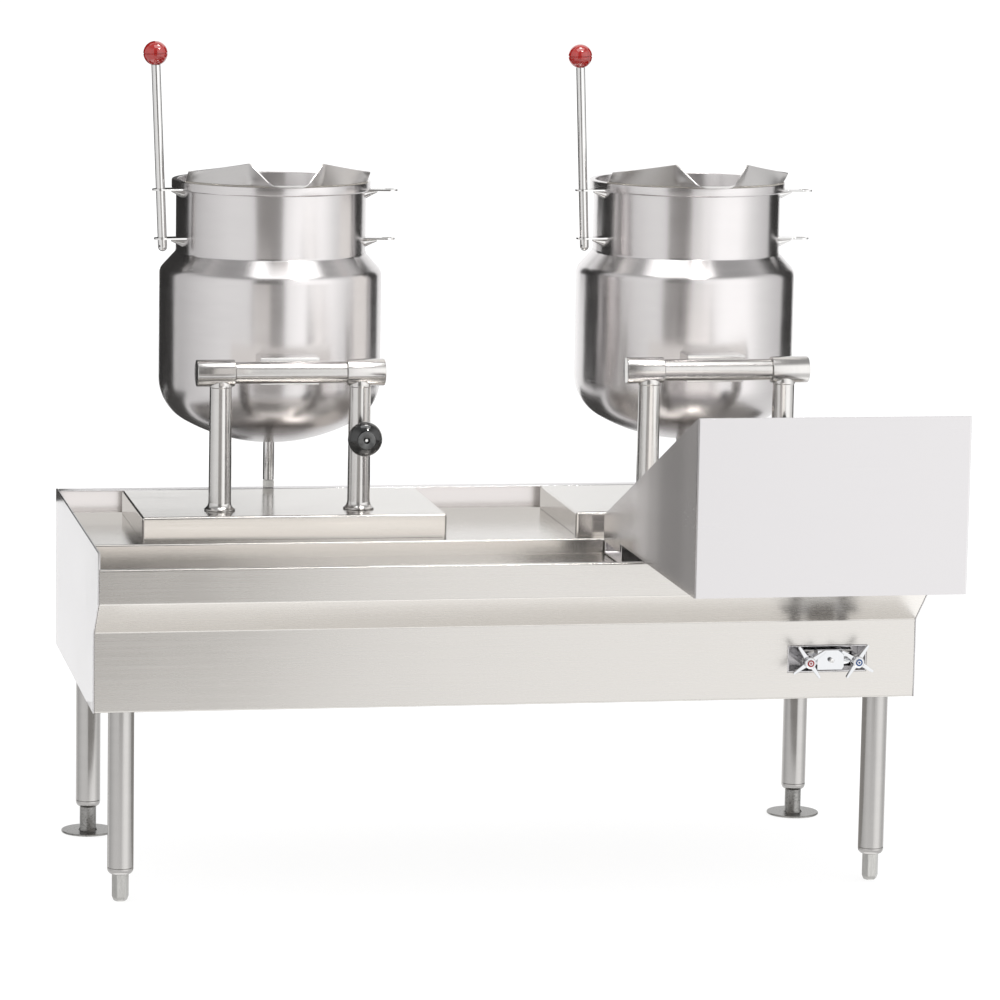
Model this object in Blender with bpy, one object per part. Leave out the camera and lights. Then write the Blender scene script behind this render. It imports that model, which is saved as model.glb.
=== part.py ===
# Two tilting steam jacketed kettles on an open-leg stand, in metres, +Z up.
# Depths are measured back from the front rim of the stand, heights up from the floor.
import math

import bmesh
import bpy
from mathutils import Vector

# Clearances
SEAT_GAP = 0.0003
RUNNING_GAP = 0.0005
SHEET = 0.002

# Stand
STAND_WIDTH = 1.2192
STAND_DEPTH = 0.616
SKIRT_BOTTOM = 0.287
SKIRT_HEIGHT = 0.117
SLOPE_HEIGHT = 0.0515
BAND_HEIGHT = 0.0495
SIDE_ABOVE_RIM = 0.025
SKIRT_SETBACK = 0.0623
RIM_HEM = 0.010
SIDE_HEM_THICKNESS = 0.0015
SIDE_HEM_HEIGHT = 0.008
BOTTOM_FLANGE = 0.020
REAR_FLANGE = 0.025
FOLD_RADIUS = 0.003
FOLD_GAP = 0.001
DECK_DEPTH = 0.0355
TROUGH_WIDTH = 0.2862
TROUGH_DEPTH = 0.033
PLATFORM_WIDTH = 0.459
PLATFORM_DEPTH = 0.300
PLATFORM_EDGE_RADIUS = 0.004
DRAIN_RADIUS = 0.020
DRAIN_WALL = 0.0025
DRAIN_LENGTH = 0.085
DRAIN_FLANGE_RADIUS = 0.032
DRAIN_FROM_REAR_WALL = 0.110

# Legs and feet
LEG_RADIUS = 0.019
LEG_WALL = 0.0018
LEG_INSET_SIDE = 0.0461
LEG_INSET_FRONT = 0.0483
LEG_INSET_REAR = 0.049
LEG_END_HEIGHT = 0.041
LEG_SHOULDER = 0.008
LEG_PLUG_DEPTH = 0.016
STEM_RADIUS = 0.0085
STEM_INSERTION = 0.050
HEX_FOOT_RADIUS = 0.0124
HEX_FOOT_TAPER = 0.0025
COLLAR_RADIUS = 0.0127
FLANGE_FOOT_RADIUS = 0.041
FLANGE_FOOT_THICKNESS = 0.003

# Kettles
KETTLE_PITCH = 0.657
KETTLE_PAIR_OFFSET = 0.0475
KETTLE_ABOVE_PLATFORM = 0.073
SHOULDER_REACH = 0.0252
JACKET_CROWN = 0.270
JACKET_KNUCKLE = 0.072
JACKET_STRAIGHT_TOP = 0.2665
SHOULDER_HEIGHT = 0.0275
SHOULDER_RADIUS = 0.010
NECK_RADIUS = 0.1459
NECK_HEIGHT = 0.097
RIM_BAND_REACH = 0.0069
RIM_BAND_HEIGHT = 0.0147
RIM_BAND_ROUND = 0.0022
BOWL_CROWN = 0.230
BOWL_KNUCKLE = 0.058
STEAM_SPACE = 0.022

# Butterfly pouring lip, sizes from the front and side of the rim band and above it
LIP_SHEET = 0.0018
LIP_INSET = 0.0012
LIP_END_ANGLE = math.radians(67.0)
LIP_PEAK_ANGLE = math.radians(22.0)
LIP_END_INSIDE = 0.0131
LIP_END_BEHIND = 0.0655
LIP_END_HEIGHT = 0.0167
LIP_PEAK_HALF_WIDTH = 0.0566
LIP_PEAK_AHEAD = 0.0076
LIP_PEAK_HEIGHT = 0.0354
SPOUT_HALF_WIDTH = 0.026
SPOUT_AHEAD = 0.0437
SPOUT_RISE = 0.0022
SPOUT_CORNER = 0.010

# Lever tabs and the removable tilting lever
TAB_THICKNESS = 0.0025
TAB_FORWARD_ANGLE = math.radians(14.8)
TAB_END_RADIUS = 0.0125
TAB_ROOT_HALF_WIDTH = 0.016
TAB_BELOW_RIM_TOP = 0.0123
TAB_SPACING = 0.0748
TAB_GUSSET_DEPTH = 0.017
TAB_GUSSET_REACH = 0.020
TAB_GUSSET_HALF_WIDTH = 0.004
LEVER_RADIUS = 0.0069
LEVER_CLEARANCE = 0.0006
LEVER_LEAN = math.radians(2.6)
LEVER_FROM_NECK = 0.0333
LEVER_TIP_DROP = 0.0195
LEVER_LENGTH = 0.2817
BALL_RADIUS = 0.0185
BALL_GROOVE = 0.0004

# Trunnion, posts and steam valves
TRUNNION_SETBACK = 0.0665
TRUNNION_HEIGHT = 0.2068
TUBE_RADIUS = 0.0164
TUBE_TO_JACKET = 0.036
JOURNAL_RADIUS = 0.0150
JOURNAL_CLEARANCE = 0.0004
SLEEVE_RADIUS = 0.0202
SLEEVE_END_WALL = 0.003
SLEEVE_OUTER_REACH = 0.0372
SLEEVE_INNER_REACH = 0.0205
POST_SPACING = 0.2106
POST_RADIUS = 0.0164
POST_FLARE_RADIUS = 0.0235
POST_FLARE_HEIGHT = 0.0105
POST_FLARE_EDGE = 0.002
SADDLE_WIDTH = 0.090
SADDLE_ABOVE_AXIS = 0.0215
SADDLE_BELOW_AXIS = 0.020
VALVE_HEIGHT = 0.1125
VALVE_BOSS_RADIUS = 0.0135
VALVE_BOSS_REACH = 0.022
BONNET_RADIUS = 0.0105
BONNET_NUT_RADIUS = 0.0125
BONNET_LENGTH = 0.029
KNOB_RADIUS = 0.026
KNOB_THICKNESS = 0.019
KNOB_HUB_RADIUS = 0.0115
KNOB_SCREW_RADIUS = 0.0045
REST_ROD_RADIUS = 0.0086
REST_PAD_HEIGHT = 0.0115

# Splash shield and drain drawer
SHIELD_WIDTH = 0.3902
SHIELD_FROM_SIDE = 0.0385
SHIELD_REACH = 0.308
SHIELD_HEIGHT = 0.2506
SHIELD_REAR_HEIGHT = 0.0276
SHIELD_REAR_DEPTH = 0.274
SHIELD_TAIL_LENGTH = 0.109
SHIELD_TAIL_DROP = 0.0130
DRAWER_SLOPE = 0.006
DRAWER_FRONT_LIP = 0.018
GUTTER_FLOOR_GAP = 0.0008
GUTTER_REAR_GAP = 0.008

# Faucet valve and its recess
FAUCET_FROM_SIDE = 0.1351
RECESS_WIDTH = 0.1194
RECESS_HEIGHT = 0.0400
RECESS_DEPTH = 0.045
RECESS_ABOVE_BOTTOM = 0.040
FAUCET_ABOVE_BOTTOM = 0.0615
HANDLE_SPACING = 0.073
FAUCET_BODY_RADIUS = 0.0145
FAUCET_PLATE_WIDTH = 0.040
FAUCET_PLATE_HEIGHT = 0.029
FAUCET_PLATE_PROUD = 0.0205
FAUCET_STEM_RADIUS = 0.0090
HANDLE_HUB_RADIUS = 0.0085
HANDLE_HUB_LENGTH = 0.018
HANDLE_ARM_REACH = 0.029
HANDLE_ARM_ROOT = 0.0042
HANDLE_ARM_TIP = 0.0024
HANDLE_ARM_THICKNESS = 0.0055
HANDLE_FRONT_PROUD = 0.046
HANDLE_TURNS = (math.radians(35.0), math.radians(57.0))
BUTTON_RADIUS = 0.0056
BUTTON_THICKNESS = 0.0015

# Facets round each kind of turned piece
KETTLE_STEPS = 32
TUBE_STEPS = 18
SMALL_STEPS = 14

# Heights and depths that follow from the sizes above
JACKET_RADIUS = NECK_RADIUS + SHOULDER_REACH
LEVER_HOLE_REACH = NECK_RADIUS + LEVER_FROM_NECK
LOWER_CREASE = SKIRT_BOTTOM + SKIRT_HEIGHT
UPPER_CREASE = LOWER_CREASE + SLOPE_HEIGHT
RIM_TOP = UPPER_CREASE + BAND_HEIGHT
SIDE_TOP = RIM_TOP + SIDE_ABOVE_RIM
DECK_TOP = SIDE_TOP - DECK_DEPTH
TROUGH_FLOOR = RIM_TOP - TROUGH_DEPTH
HALF_WIDTH = STAND_WIDTH / 2
INNER_HALF_WIDTH = HALF_WIDTH - SHEET - SEAT_GAP
PLATFORM_TOP = SIDE_TOP
PLATFORM_FRONT = STAND_DEPTH - PLATFORM_DEPTH
KETTLE_PLACES = (KETTLE_PAIR_OFFSET - KETTLE_PITCH / 2, KETTLE_PAIR_OFFSET + KETTLE_PITCH / 2)
SHIELD_PLACE = HALF_WIDTH - SHIELD_FROM_SIDE - SHIELD_WIDTH / 2
FAUCET_PLACE = HALF_WIDTH - FAUCET_FROM_SIDE
TILT_DEPTH = PLATFORM_FRONT + TRUNNION_SETBACK
TILT_HEIGHT = PLATFORM_TOP + TRUNNION_HEIGHT
KETTLE_DEPTH = TILT_DEPTH + TUBE_RADIUS + TUBE_TO_JACKET + JACKET_RADIUS
KETTLE_BOTTOM = PLATFORM_TOP + KETTLE_ABOVE_PLATFORM
NECK_START = JACKET_STRAIGHT_TOP + SHOULDER_HEIGHT
BAND_START = NECK_START + NECK_HEIGHT
BOWL_TOP = BAND_START + RIM_BAND_HEIGHT
BAND_RADIUS = NECK_RADIUS + RIM_BAND_REACH
MID_DEPTH = (KETTLE_DEPTH + JACKET_RADIUS - SHIELD_REACH) / 2
LEG_DEPTHS = {"front": SKIRT_SETBACK + LEG_INSET_FRONT, "rear": STAND_DEPTH - LEG_INSET_REAR}
BORE_RADIUS = JOURNAL_RADIUS + JOURNAL_CLEARANCE

# Finishes: colour, roughness, metallic
BRUSHED = ((0.66, 0.65, 0.64), 0.28, 1.0)
SATIN = ((0.74, 0.73, 0.72), 0.35, 1.0)
POLISHED = ((0.72, 0.72, 0.72), 0.12, 1.0)
CHROME = ((0.85, 0.86, 0.87), 0.06, 1.0)
RED_PHENOLIC = ((0.52, 0.012, 0.012), 0.10, 0.0)
BLACK_PHENOLIC = ((0.012, 0.012, 0.013), 0.25, 0.0)
WHITE_NYLON = ((0.80, 0.80, 0.78), 0.45, 0.0)
RED_INDEX = ((0.55, 0.03, 0.03), 0.20, 0.0)
BLUE_INDEX = ((0.02, 0.16, 0.45), 0.20, 0.0)


def clear_scene():
    for old in list(bpy.data.objects):
        bpy.data.objects.remove(old, do_unlink=True)


def finish_material(name, finish):
    colour, roughness, metallic = finish
    material = bpy.data.materials.new(name + " finish")
    material.use_nodes = True
    shader = material.node_tree.nodes["Principled BSDF"]
    shader.inputs["Base Color"].default_value = (*colour, 1.0)
    shader.inputs["Roughness"].default_value = roughness
    shader.inputs["Metallic"].default_value = metallic
    material.diffuse_color = (*colour, 1.0)
    return material


def empty(name, parent=None, at=(0.0, 0.0, 0.0), turn=(0.0, 0.0, 0.0)):
    guide = bpy.data.objects.new(name, None)
    bpy.context.collection.objects.link(guide)
    guide.parent = parent
    guide.location = at
    guide.rotation_euler = turn
    return guide


def piece(name, mesh, finish, parent, at=(0.0, 0.0, 0.0), turn=(0.0, 0.0, 0.0)):
    thing = bpy.data.objects.new(name, mesh)
    bpy.context.collection.objects.link(thing)
    thing.parent = parent
    thing.location = at
    thing.rotation_euler = turn
    if not mesh.materials:
        mesh.materials.append(None)
    thing.material_slots[0].link = "OBJECT"
    thing.material_slots[0].material = finish_material(name, finish)
    return thing


def tool(name, mesh, parent, at=(0.0, 0.0, 0.0), turn=(0.0, 0.0, 0.0)):
    guide = empty(name, parent, at, turn)
    body = bpy.data.objects.new(name + "_shape", mesh)
    bpy.context.collection.objects.link(body)
    body.parent = guide
    body.hide_render = True
    body.display_type = "WIRE"
    return body


def combine(thing, shape, operation):
    change = thing.modifiers.new(operation.lower(), "BOOLEAN")
    change.operation = operation
    change.solver = "EXACT"
    change.object = shape


def as_mesh(name, work, sharp_angle=32.0):
    bmesh.ops.recalc_face_normals(work, faces=work.faces)
    mesh = bpy.data.meshes.new(name)
    work.to_mesh(mesh)
    work.free()
    mesh.shade_smooth()
    mesh.set_sharp_from_angle(angle=math.radians(sharp_angle))
    return mesh


def turned(name, profile, steps, closed=False):
    # The profile holds (radius, height) points. An open one starts and ends on the axis.
    work = bmesh.new()
    points = [work.verts.new((radius, 0.0, height)) for radius, height in profile]
    pairs = list(zip(points, points[1:]))
    if closed:
        pairs.append((points[-1], points[0]))
    edges = [work.edges.new(pair) for pair in pairs]
    bmesh.ops.spin(
        work, geom=points + edges, axis=(0, 0, 1), cent=(0, 0, 0),
        steps=steps, angle=math.tau, use_merge=True, use_duplicate=False)
    bmesh.ops.remove_doubles(work, verts=work.verts, dist=1e-6)
    return as_mesh(name, work)


def prism(name, outline, start, end, along="x"):
    # A closed outline swept straight along one axis.
    order = {"x": lambda a, b, c: (c, a, b), "y": lambda a, b, c: (a, c, b), "z": lambda a, b, c: (a, b, c)}
    place = order[along]
    work = bmesh.new()
    low = [work.verts.new(place(a, b, start)) for a, b in outline]
    high = [work.verts.new(place(a, b, end)) for a, b in outline]
    work.faces.new(low)
    work.faces.new(list(reversed(high)))
    for index, corner in enumerate(low):
        after = (index + 1) % len(low)
        work.faces.new((corner, high[index], high[after], low[after]))
    return as_mesh(name, work)


def rounded(path, radius, steps=2):
    # Replaces each inner corner of an open path by an arc.
    result = [path[0]]
    for before, corner, after in zip(path, path[1:], path[2:]):
        here = Vector(corner)
        back = (Vector(before) - here).normalized()
        ahead = (Vector(after) - here).normalized()
        half = back.angle(ahead) / 2
        reach = min(radius / math.tan(half), (Vector(before) - here).length * 0.45)
        reach = min(reach, (Vector(after) - here).length * 0.45)
        first = here + back * reach
        last = here + ahead * reach
        for step in range(steps + 1):
            share = step / steps
            point = first.lerp(here, share).lerp(here.lerp(last, share), share)
            result.append((point.x, point.y))
    result.append(path[-1])
    return result


def folded(path, thickness, radius=FOLD_RADIUS):
    # The outline of a folded sheet, its thickness on the left of the path.
    line = [Vector(point) for point in rounded(path, radius)]
    inner = []
    for index, point in enumerate(line):
        sides = []
        if index > 0:
            sides.append((point - line[index - 1]).normalized())
        if index < len(line) - 1:
            sides.append((line[index + 1] - point).normalized())
        normals = [Vector((-side.y, side.x)) for side in sides]
        mitre = sum(normals, Vector((0.0, 0.0))).normalized()
        inner.append(point + mitre * thickness / mitre.dot(normals[0]))
    return [tuple(point) for point in line] + [tuple(point) for point in reversed(inner)]


def rectangle(left, right, low, high):
    return [(left, low), (right, low), (right, high), (left, high)]


def dished(radius, crown, knuckle, height, crown_steps, knuckle_steps):
    # A dished end from the axis out to its rim: a shallow crown and a tighter knuckle.
    turn = math.asin((radius - knuckle) / (crown - knuckle))
    centre = crown - math.sqrt((crown - knuckle) ** 2 - (radius - knuckle) ** 2)
    points = []
    for step in range(crown_steps + 1):
        angle = turn * step / crown_steps
        points.append((crown * math.sin(angle), height + crown * (1 - math.cos(angle))))
    for step in range(1, knuckle_steps + 1):
        angle = turn + (math.pi / 2 - turn) * step / knuckle_steps
        across = radius - knuckle + knuckle * math.sin(angle)
        points.append((across, height + centre - knuckle * math.cos(angle)))
    return points


def bowl_mesh():
    # The inner kettle with its neck, and a band round the rim.
    inner_radius = NECK_RADIUS - SHEET
    outer = dished(NECK_RADIUS, BOWL_CROWN, BOWL_KNUCKLE, STEAM_SPACE, 2, 3)
    inner = dished(inner_radius, BOWL_CROWN - SHEET, BOWL_KNUCKLE - SHEET, STEAM_SPACE + SHEET, 3, 4)
    band = [
        (NECK_RADIUS, BAND_START),
        (BAND_RADIUS - RIM_BAND_ROUND, BAND_START),
        (BAND_RADIUS, BAND_START + RIM_BAND_ROUND),
        (BAND_RADIUS, BOWL_TOP - RIM_BAND_ROUND),
        (BAND_RADIUS - RIM_BAND_ROUND, BOWL_TOP),
        (inner_radius + SHEET / 2, BOWL_TOP),
        (inner_radius, BOWL_TOP - SHEET / 2),
    ]
    return turned("kettle_bowl", outer + band + inner[::-1], KETTLE_STEPS)


def jacket_mesh():
    # The steam jacket: a dished bottom, a straight wall and a shoulder closing on the neck.
    mouth = NECK_RADIUS + SEAT_GAP
    outer = dished(JACKET_RADIUS, JACKET_CROWN, JACKET_KNUCKLE, 0.0, 3, 5)
    inner_radius = JACKET_RADIUS - SHEET
    inner = dished(inner_radius, JACKET_CROWN - SHEET, JACKET_KNUCKLE - SHEET, SHEET, 2, 3)
    shoulder = rounded(
        [outer[-1], (JACKET_RADIUS, JACKET_STRAIGHT_TOP), (mouth, NECK_START)], SHOULDER_RADIUS, 3)
    closing = [(mouth, NECK_START - 1.4 * SHEET), (inner_radius, JACKET_STRAIGHT_TOP - 0.6 * SHEET)]
    return turned("steam_jacket", outer + shoulder[1:] + closing + inner[::-1], KETTLE_STEPS)


def lip_edges():
    # Half of the lip as pairs of points: on the rim, and on the free edge.
    rim_radius = BAND_RADIUS - LIP_INSET

    def on_rim(angle):
        return Vector((rim_radius * math.sin(angle), -rim_radius * math.cos(angle), 0.0))

    end = Vector((BAND_RADIUS - LIP_END_INSIDE, LIP_END_BEHIND - BAND_RADIUS, LIP_END_HEIGHT))
    peak = Vector((LIP_PEAK_HALF_WIDTH, -BAND_RADIUS - LIP_PEAK_AHEAD, LIP_PEAK_HEIGHT))
    corner = Vector((SPOUT_HALF_WIDTH, -BAND_RADIUS - SPOUT_AHEAD, SPOUT_RISE))
    middle = Vector((0.0, corner.y, SPOUT_RISE))
    corner_angle = math.asin(SPOUT_HALF_WIDTH / rim_radius)
    pairs = []
    wing_steps = 8
    for step in range(wing_steps + 1):
        share = step / wing_steps
        angle = LIP_END_ANGLE + (LIP_PEAK_ANGLE - LIP_END_ANGLE) * share
        pairs.append((on_rim(angle), end.lerp(peak, share)))
    throat_steps = 4
    rise = corner + (peak - corner).normalized() * SPOUT_CORNER
    run = corner + (middle - corner).normalized() * SPOUT_CORNER
    free = [peak.lerp(rise, step / 2) for step in (1, 2)]
    free += [rise.lerp(corner, share).lerp(corner.lerp(run, share), share) for share in (0.33, 0.67, 1.0)]
    for step, point in enumerate(free, 1):
        angle = LIP_PEAK_ANGLE + (corner_angle - LIP_PEAK_ANGLE) * min(step / throat_steps, 1.0)
        pairs.append((on_rim(angle), point))
    pairs.append((on_rim(0.0), middle))
    return pairs


def lip_mesh():
    # Two leaning wings with a level spout between them, ruled from the rim to the free edge.
    half = lip_edges()
    whole = half + [
        (Vector((-low.x, low.y, low.z)), Vector((-high.x, high.y, high.z))) for low, high in half[-2::-1]]
    work = bmesh.new()
    columns = [(work.verts.new(low), work.verts.new(high)) for low, high in whole]
    for (low, high), (next_low, next_high) in zip(columns, columns[1:]):
        work.faces.new((low, high, next_high, next_low))
    mesh = bpy.data.meshes.new("pour_lip")
    work.to_mesh(mesh)
    work.free()
    mesh.shade_smooth()
    mesh.set_sharp_from_angle(angle=math.radians(32.0))
    return mesh


def pour_lip(name, mesh, parent):
    lip = piece(name, mesh, SATIN, parent, (0.0, 0.0, BOWL_TOP + SEAT_GAP))
    wall = lip.modifiers.new("sheet", "SOLIDIFY")
    wall.thickness = LIP_SHEET
    wall.offset = -1.0
    wall.use_even_offset = True
    return lip


def tab_outline(root_radius, hole_reach):
    # A plate from the round wall out to a rounded end about the lever hole.
    half_angle = math.asin(TAB_ROOT_HALF_WIDTH / root_radius)
    root = []
    for step in range(5):
        angle = half_angle * (1 - step / 2)
        root.append((root_radius * math.cos(angle), root_radius * math.sin(angle)))
    end = []
    for step in range(9):
        angle = -math.radians(80) + math.radians(160) * step / 8
        end.append((hole_reach + TAB_END_RADIUS * math.cos(angle), TAB_END_RADIUS * math.sin(angle)))
    return root + end


def lever_tab(name, parent, height, root_radius, hole_reach, heading):
    # A flat lever tab on a small gusset that reaches the neck, with a hole for the lever.
    half = TAB_THICKNESS / 2
    plate = prism(name, tab_outline(root_radius, hole_reach), -half, half, "z")
    tab = piece(name, plate, POLISHED, parent, (0.0, 0.0, height), (0.0, 0.0, heading))
    neck = NECK_RADIUS + SEAT_GAP + 0.001
    under_band = min(BAND_START - SEAT_GAP - height, -half)
    top = root_radius + 0.001
    gusset = [
        (neck, under_band), (neck, -half - TAB_GUSSET_DEPTH), (top + TAB_GUSSET_REACH, -half / 2),
        (top, -half / 2), (top, under_band)]
    web = prism(name + "_gusset", gusset, -TAB_GUSSET_HALF_WIDTH, TAB_GUSSET_HALF_WIDTH, "y")
    combine(tab, tool(name + "_gusset", web, tab), "UNION")
    hole = turned(name + "_hole", rod_profile(LEVER_RADIUS + LEVER_CLEARANCE, -0.01, 0.01), SMALL_STEPS)
    combine(tab, tool(name + "_hole", hole, tab, (hole_reach, 0.0, 0.0)), "DIFFERENCE")
    return tab


def rod_profile(radius, low, high):
    return [(0.0, low), (radius, low), (radius, high), (0.0, high)]


def lever_rod_mesh():
    # A round bar with a domed lower tip. Its top seats on the flat under the ball.
    seat = LEVER_LENGTH - ball_flat_depth() - SEAT_GAP
    tip = []
    for step in range(4):
        angle = math.pi / 2 * step / 3
        height = -LEVER_TIP_DROP + LEVER_RADIUS * (1 - math.cos(angle))
        tip.append((LEVER_RADIUS * math.sin(angle), height))
    return turned("lever_rod", tip + [(LEVER_RADIUS, seat), (0.0, seat)], SMALL_STEPS)


def ball_flat_depth():
    return math.sqrt(BALL_RADIUS ** 2 - LEVER_RADIUS ** 2)


def ball_mesh():
    # A ball with a flat seat below and a shallow parting groove round its equator.
    start = math.asin(LEVER_RADIUS / BALL_RADIUS)
    groove = math.radians(3.0)
    angles = [start + (math.pi / 2 - groove - start) * step / 4 for step in range(5)]
    lower = [(BALL_RADIUS * math.sin(a), -BALL_RADIUS * math.cos(a)) for a in angles]
    upper = [(BALL_RADIUS * math.cos(groove + (math.pi / 2 - groove) * step / 5),
              BALL_RADIUS * math.sin(groove + (math.pi / 2 - groove) * step / 5)) for step in range(5)]
    profile = [(0.0, -ball_flat_depth())] + lower + [(BALL_RADIUS - BALL_GROOVE, 0.0)] + upper
    return turned("lever_ball", profile + [(0.0, BALL_RADIUS)], SMALL_STEPS)


def trunnion_mesh():
    # The tilting tube, with a reduced journal at each end inside the sleeves.
    middle = POST_SPACING / 2 - SLEEVE_INNER_REACH - RUNNING_GAP
    end = POST_SPACING / 2 + SLEEVE_OUTER_REACH - SLEEVE_END_WALL - RUNNING_GAP
    profile = [
        (0.0, -end), (JOURNAL_RADIUS, -end), (JOURNAL_RADIUS, -middle), (TUBE_RADIUS, -middle),
        (TUBE_RADIUS, middle), (JOURNAL_RADIUS, middle), (JOURNAL_RADIUS, end), (0.0, end)]
    return turned("trunnion_tube", profile, TUBE_STEPS)


def saddle(name, parent):
    # The block that ties the jacket to the tilting tube, hollowed to fit both.
    radius = TUBE_RADIUS + SEAT_GAP
    top = math.asin(min(SADDLE_ABOVE_AXIS / radius, 0.95))
    low = math.asin(min(SADDLE_BELOW_AXIS / radius, 0.80))
    arc = []
    for step in range(7):
        angle = top - (top + low) * step / 6
        arc.append((radius * math.cos(angle), radius * math.sin(angle)))
    back = TUBE_RADIUS + TUBE_TO_JACKET + JACKET_RADIUS / 2
    outline = arc + [
        (arc[-1][0], -SADDLE_BELOW_AXIS), (back, -SADDLE_BELOW_AXIS),
        (back, SADDLE_ABOVE_AXIS), (arc[0][0], SADDLE_ABOVE_AXIS)]
    block = piece(name, prism(name, outline, -SADDLE_WIDTH / 2, SADDLE_WIDTH / 2), SATIN, parent)
    wall = turned(name + "_fit", rod_profile(JACKET_RADIUS + SEAT_GAP, -0.1, 0.1), KETTLE_STEPS)
    combine(block, tool(name + "_fit", wall, block, (0.0, KETTLE_DEPTH - TILT_DEPTH, 0.0)), "DIFFERENCE")
    return block


def post(name, parent, at, inward, with_valve):
    # A flared post with a tee sleeve on top that carries one end of the tilting tube.
    stem = [
        (0.0, SEAT_GAP), (POST_FLARE_RADIUS, SEAT_GAP), (POST_FLARE_RADIUS, POST_FLARE_EDGE),
        (POST_RADIUS + 0.0015, POST_FLARE_HEIGHT * 0.75), (POST_RADIUS, POST_FLARE_HEIGHT),
        (POST_RADIUS, TRUNNION_HEIGHT), (0.0, TRUNNION_HEIGHT)]
    column = piece(name, turned(name, stem, TUBE_STEPS), BRUSHED, parent, at)
    axis = (0.0, 0.0, TRUNNION_HEIGHT)
    across = (0.0, inward * math.pi / 2, 0.0)
    sleeve = rod_profile(SLEEVE_RADIUS, -SLEEVE_OUTER_REACH, SLEEVE_INNER_REACH)
    sleeve_shape = turned(name + "_sleeve", sleeve, TUBE_STEPS)
    combine(column, tool(name + "_sleeve", sleeve_shape, column, axis, across), "UNION")
    if with_valve:
        boss = turned(name + "_boss", rod_profile(VALVE_BOSS_RADIUS, 0.0, VALVE_BOSS_REACH), SMALL_STEPS)
        boss_place = (0.0, 0.0, VALVE_HEIGHT)
        combine(column, tool(name + "_boss", boss, column, boss_place, (math.pi / 2, 0.0, 0.0)), "UNION")
    bore = rod_profile(BORE_RADIUS, SLEEVE_END_WALL - SLEEVE_OUTER_REACH, SLEEVE_INNER_REACH + 0.01)
    bore_shape = turned(name + "_bore", bore, TUBE_STEPS)
    combine(column, tool(name + "_bore", bore_shape, column, axis, across), "DIFFERENCE")
    return column


def bonnet_mesh():
    # The valve bonnet with its packing nut, running forward to the knob.
    nut_end = BONNET_LENGTH * 0.55
    profile = [
        (0.0, 0.0), (BONNET_NUT_RADIUS, 0.0), (BONNET_NUT_RADIUS, nut_end * 0.6),
        (BONNET_RADIUS, nut_end * 0.7), (BONNET_RADIUS, nut_end), (0.0055, nut_end + 0.002),
        (0.0055, BONNET_LENGTH), (0.0, BONNET_LENGTH)]
    return turned("valve_bonnet", profile, SMALL_STEPS)


def knob_mesh():
    # A round knob, dished in front, with a hub ring and a centre screw.
    thick = KNOB_THICKNESS
    profile = [
        (0.0, 0.0), (KNOB_HUB_RADIUS, 0.0), (KNOB_RADIUS * 0.86, thick * 0.18),
        (KNOB_RADIUS, thick * 0.42), (KNOB_RADIUS, thick * 0.66), (KNOB_RADIUS * 0.90, thick * 0.88),
        (KNOB_HUB_RADIUS + 0.002, thick * 0.90), (KNOB_HUB_RADIUS, thick), (KNOB_SCREW_RADIUS + 0.002, thick),
        (KNOB_SCREW_RADIUS, thick * 0.86), (KNOB_SCREW_RADIUS * 0.8, thick * 0.95), (0.0, thick * 0.97)]
    return turned("valve_knob", profile, TUBE_STEPS)


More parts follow.
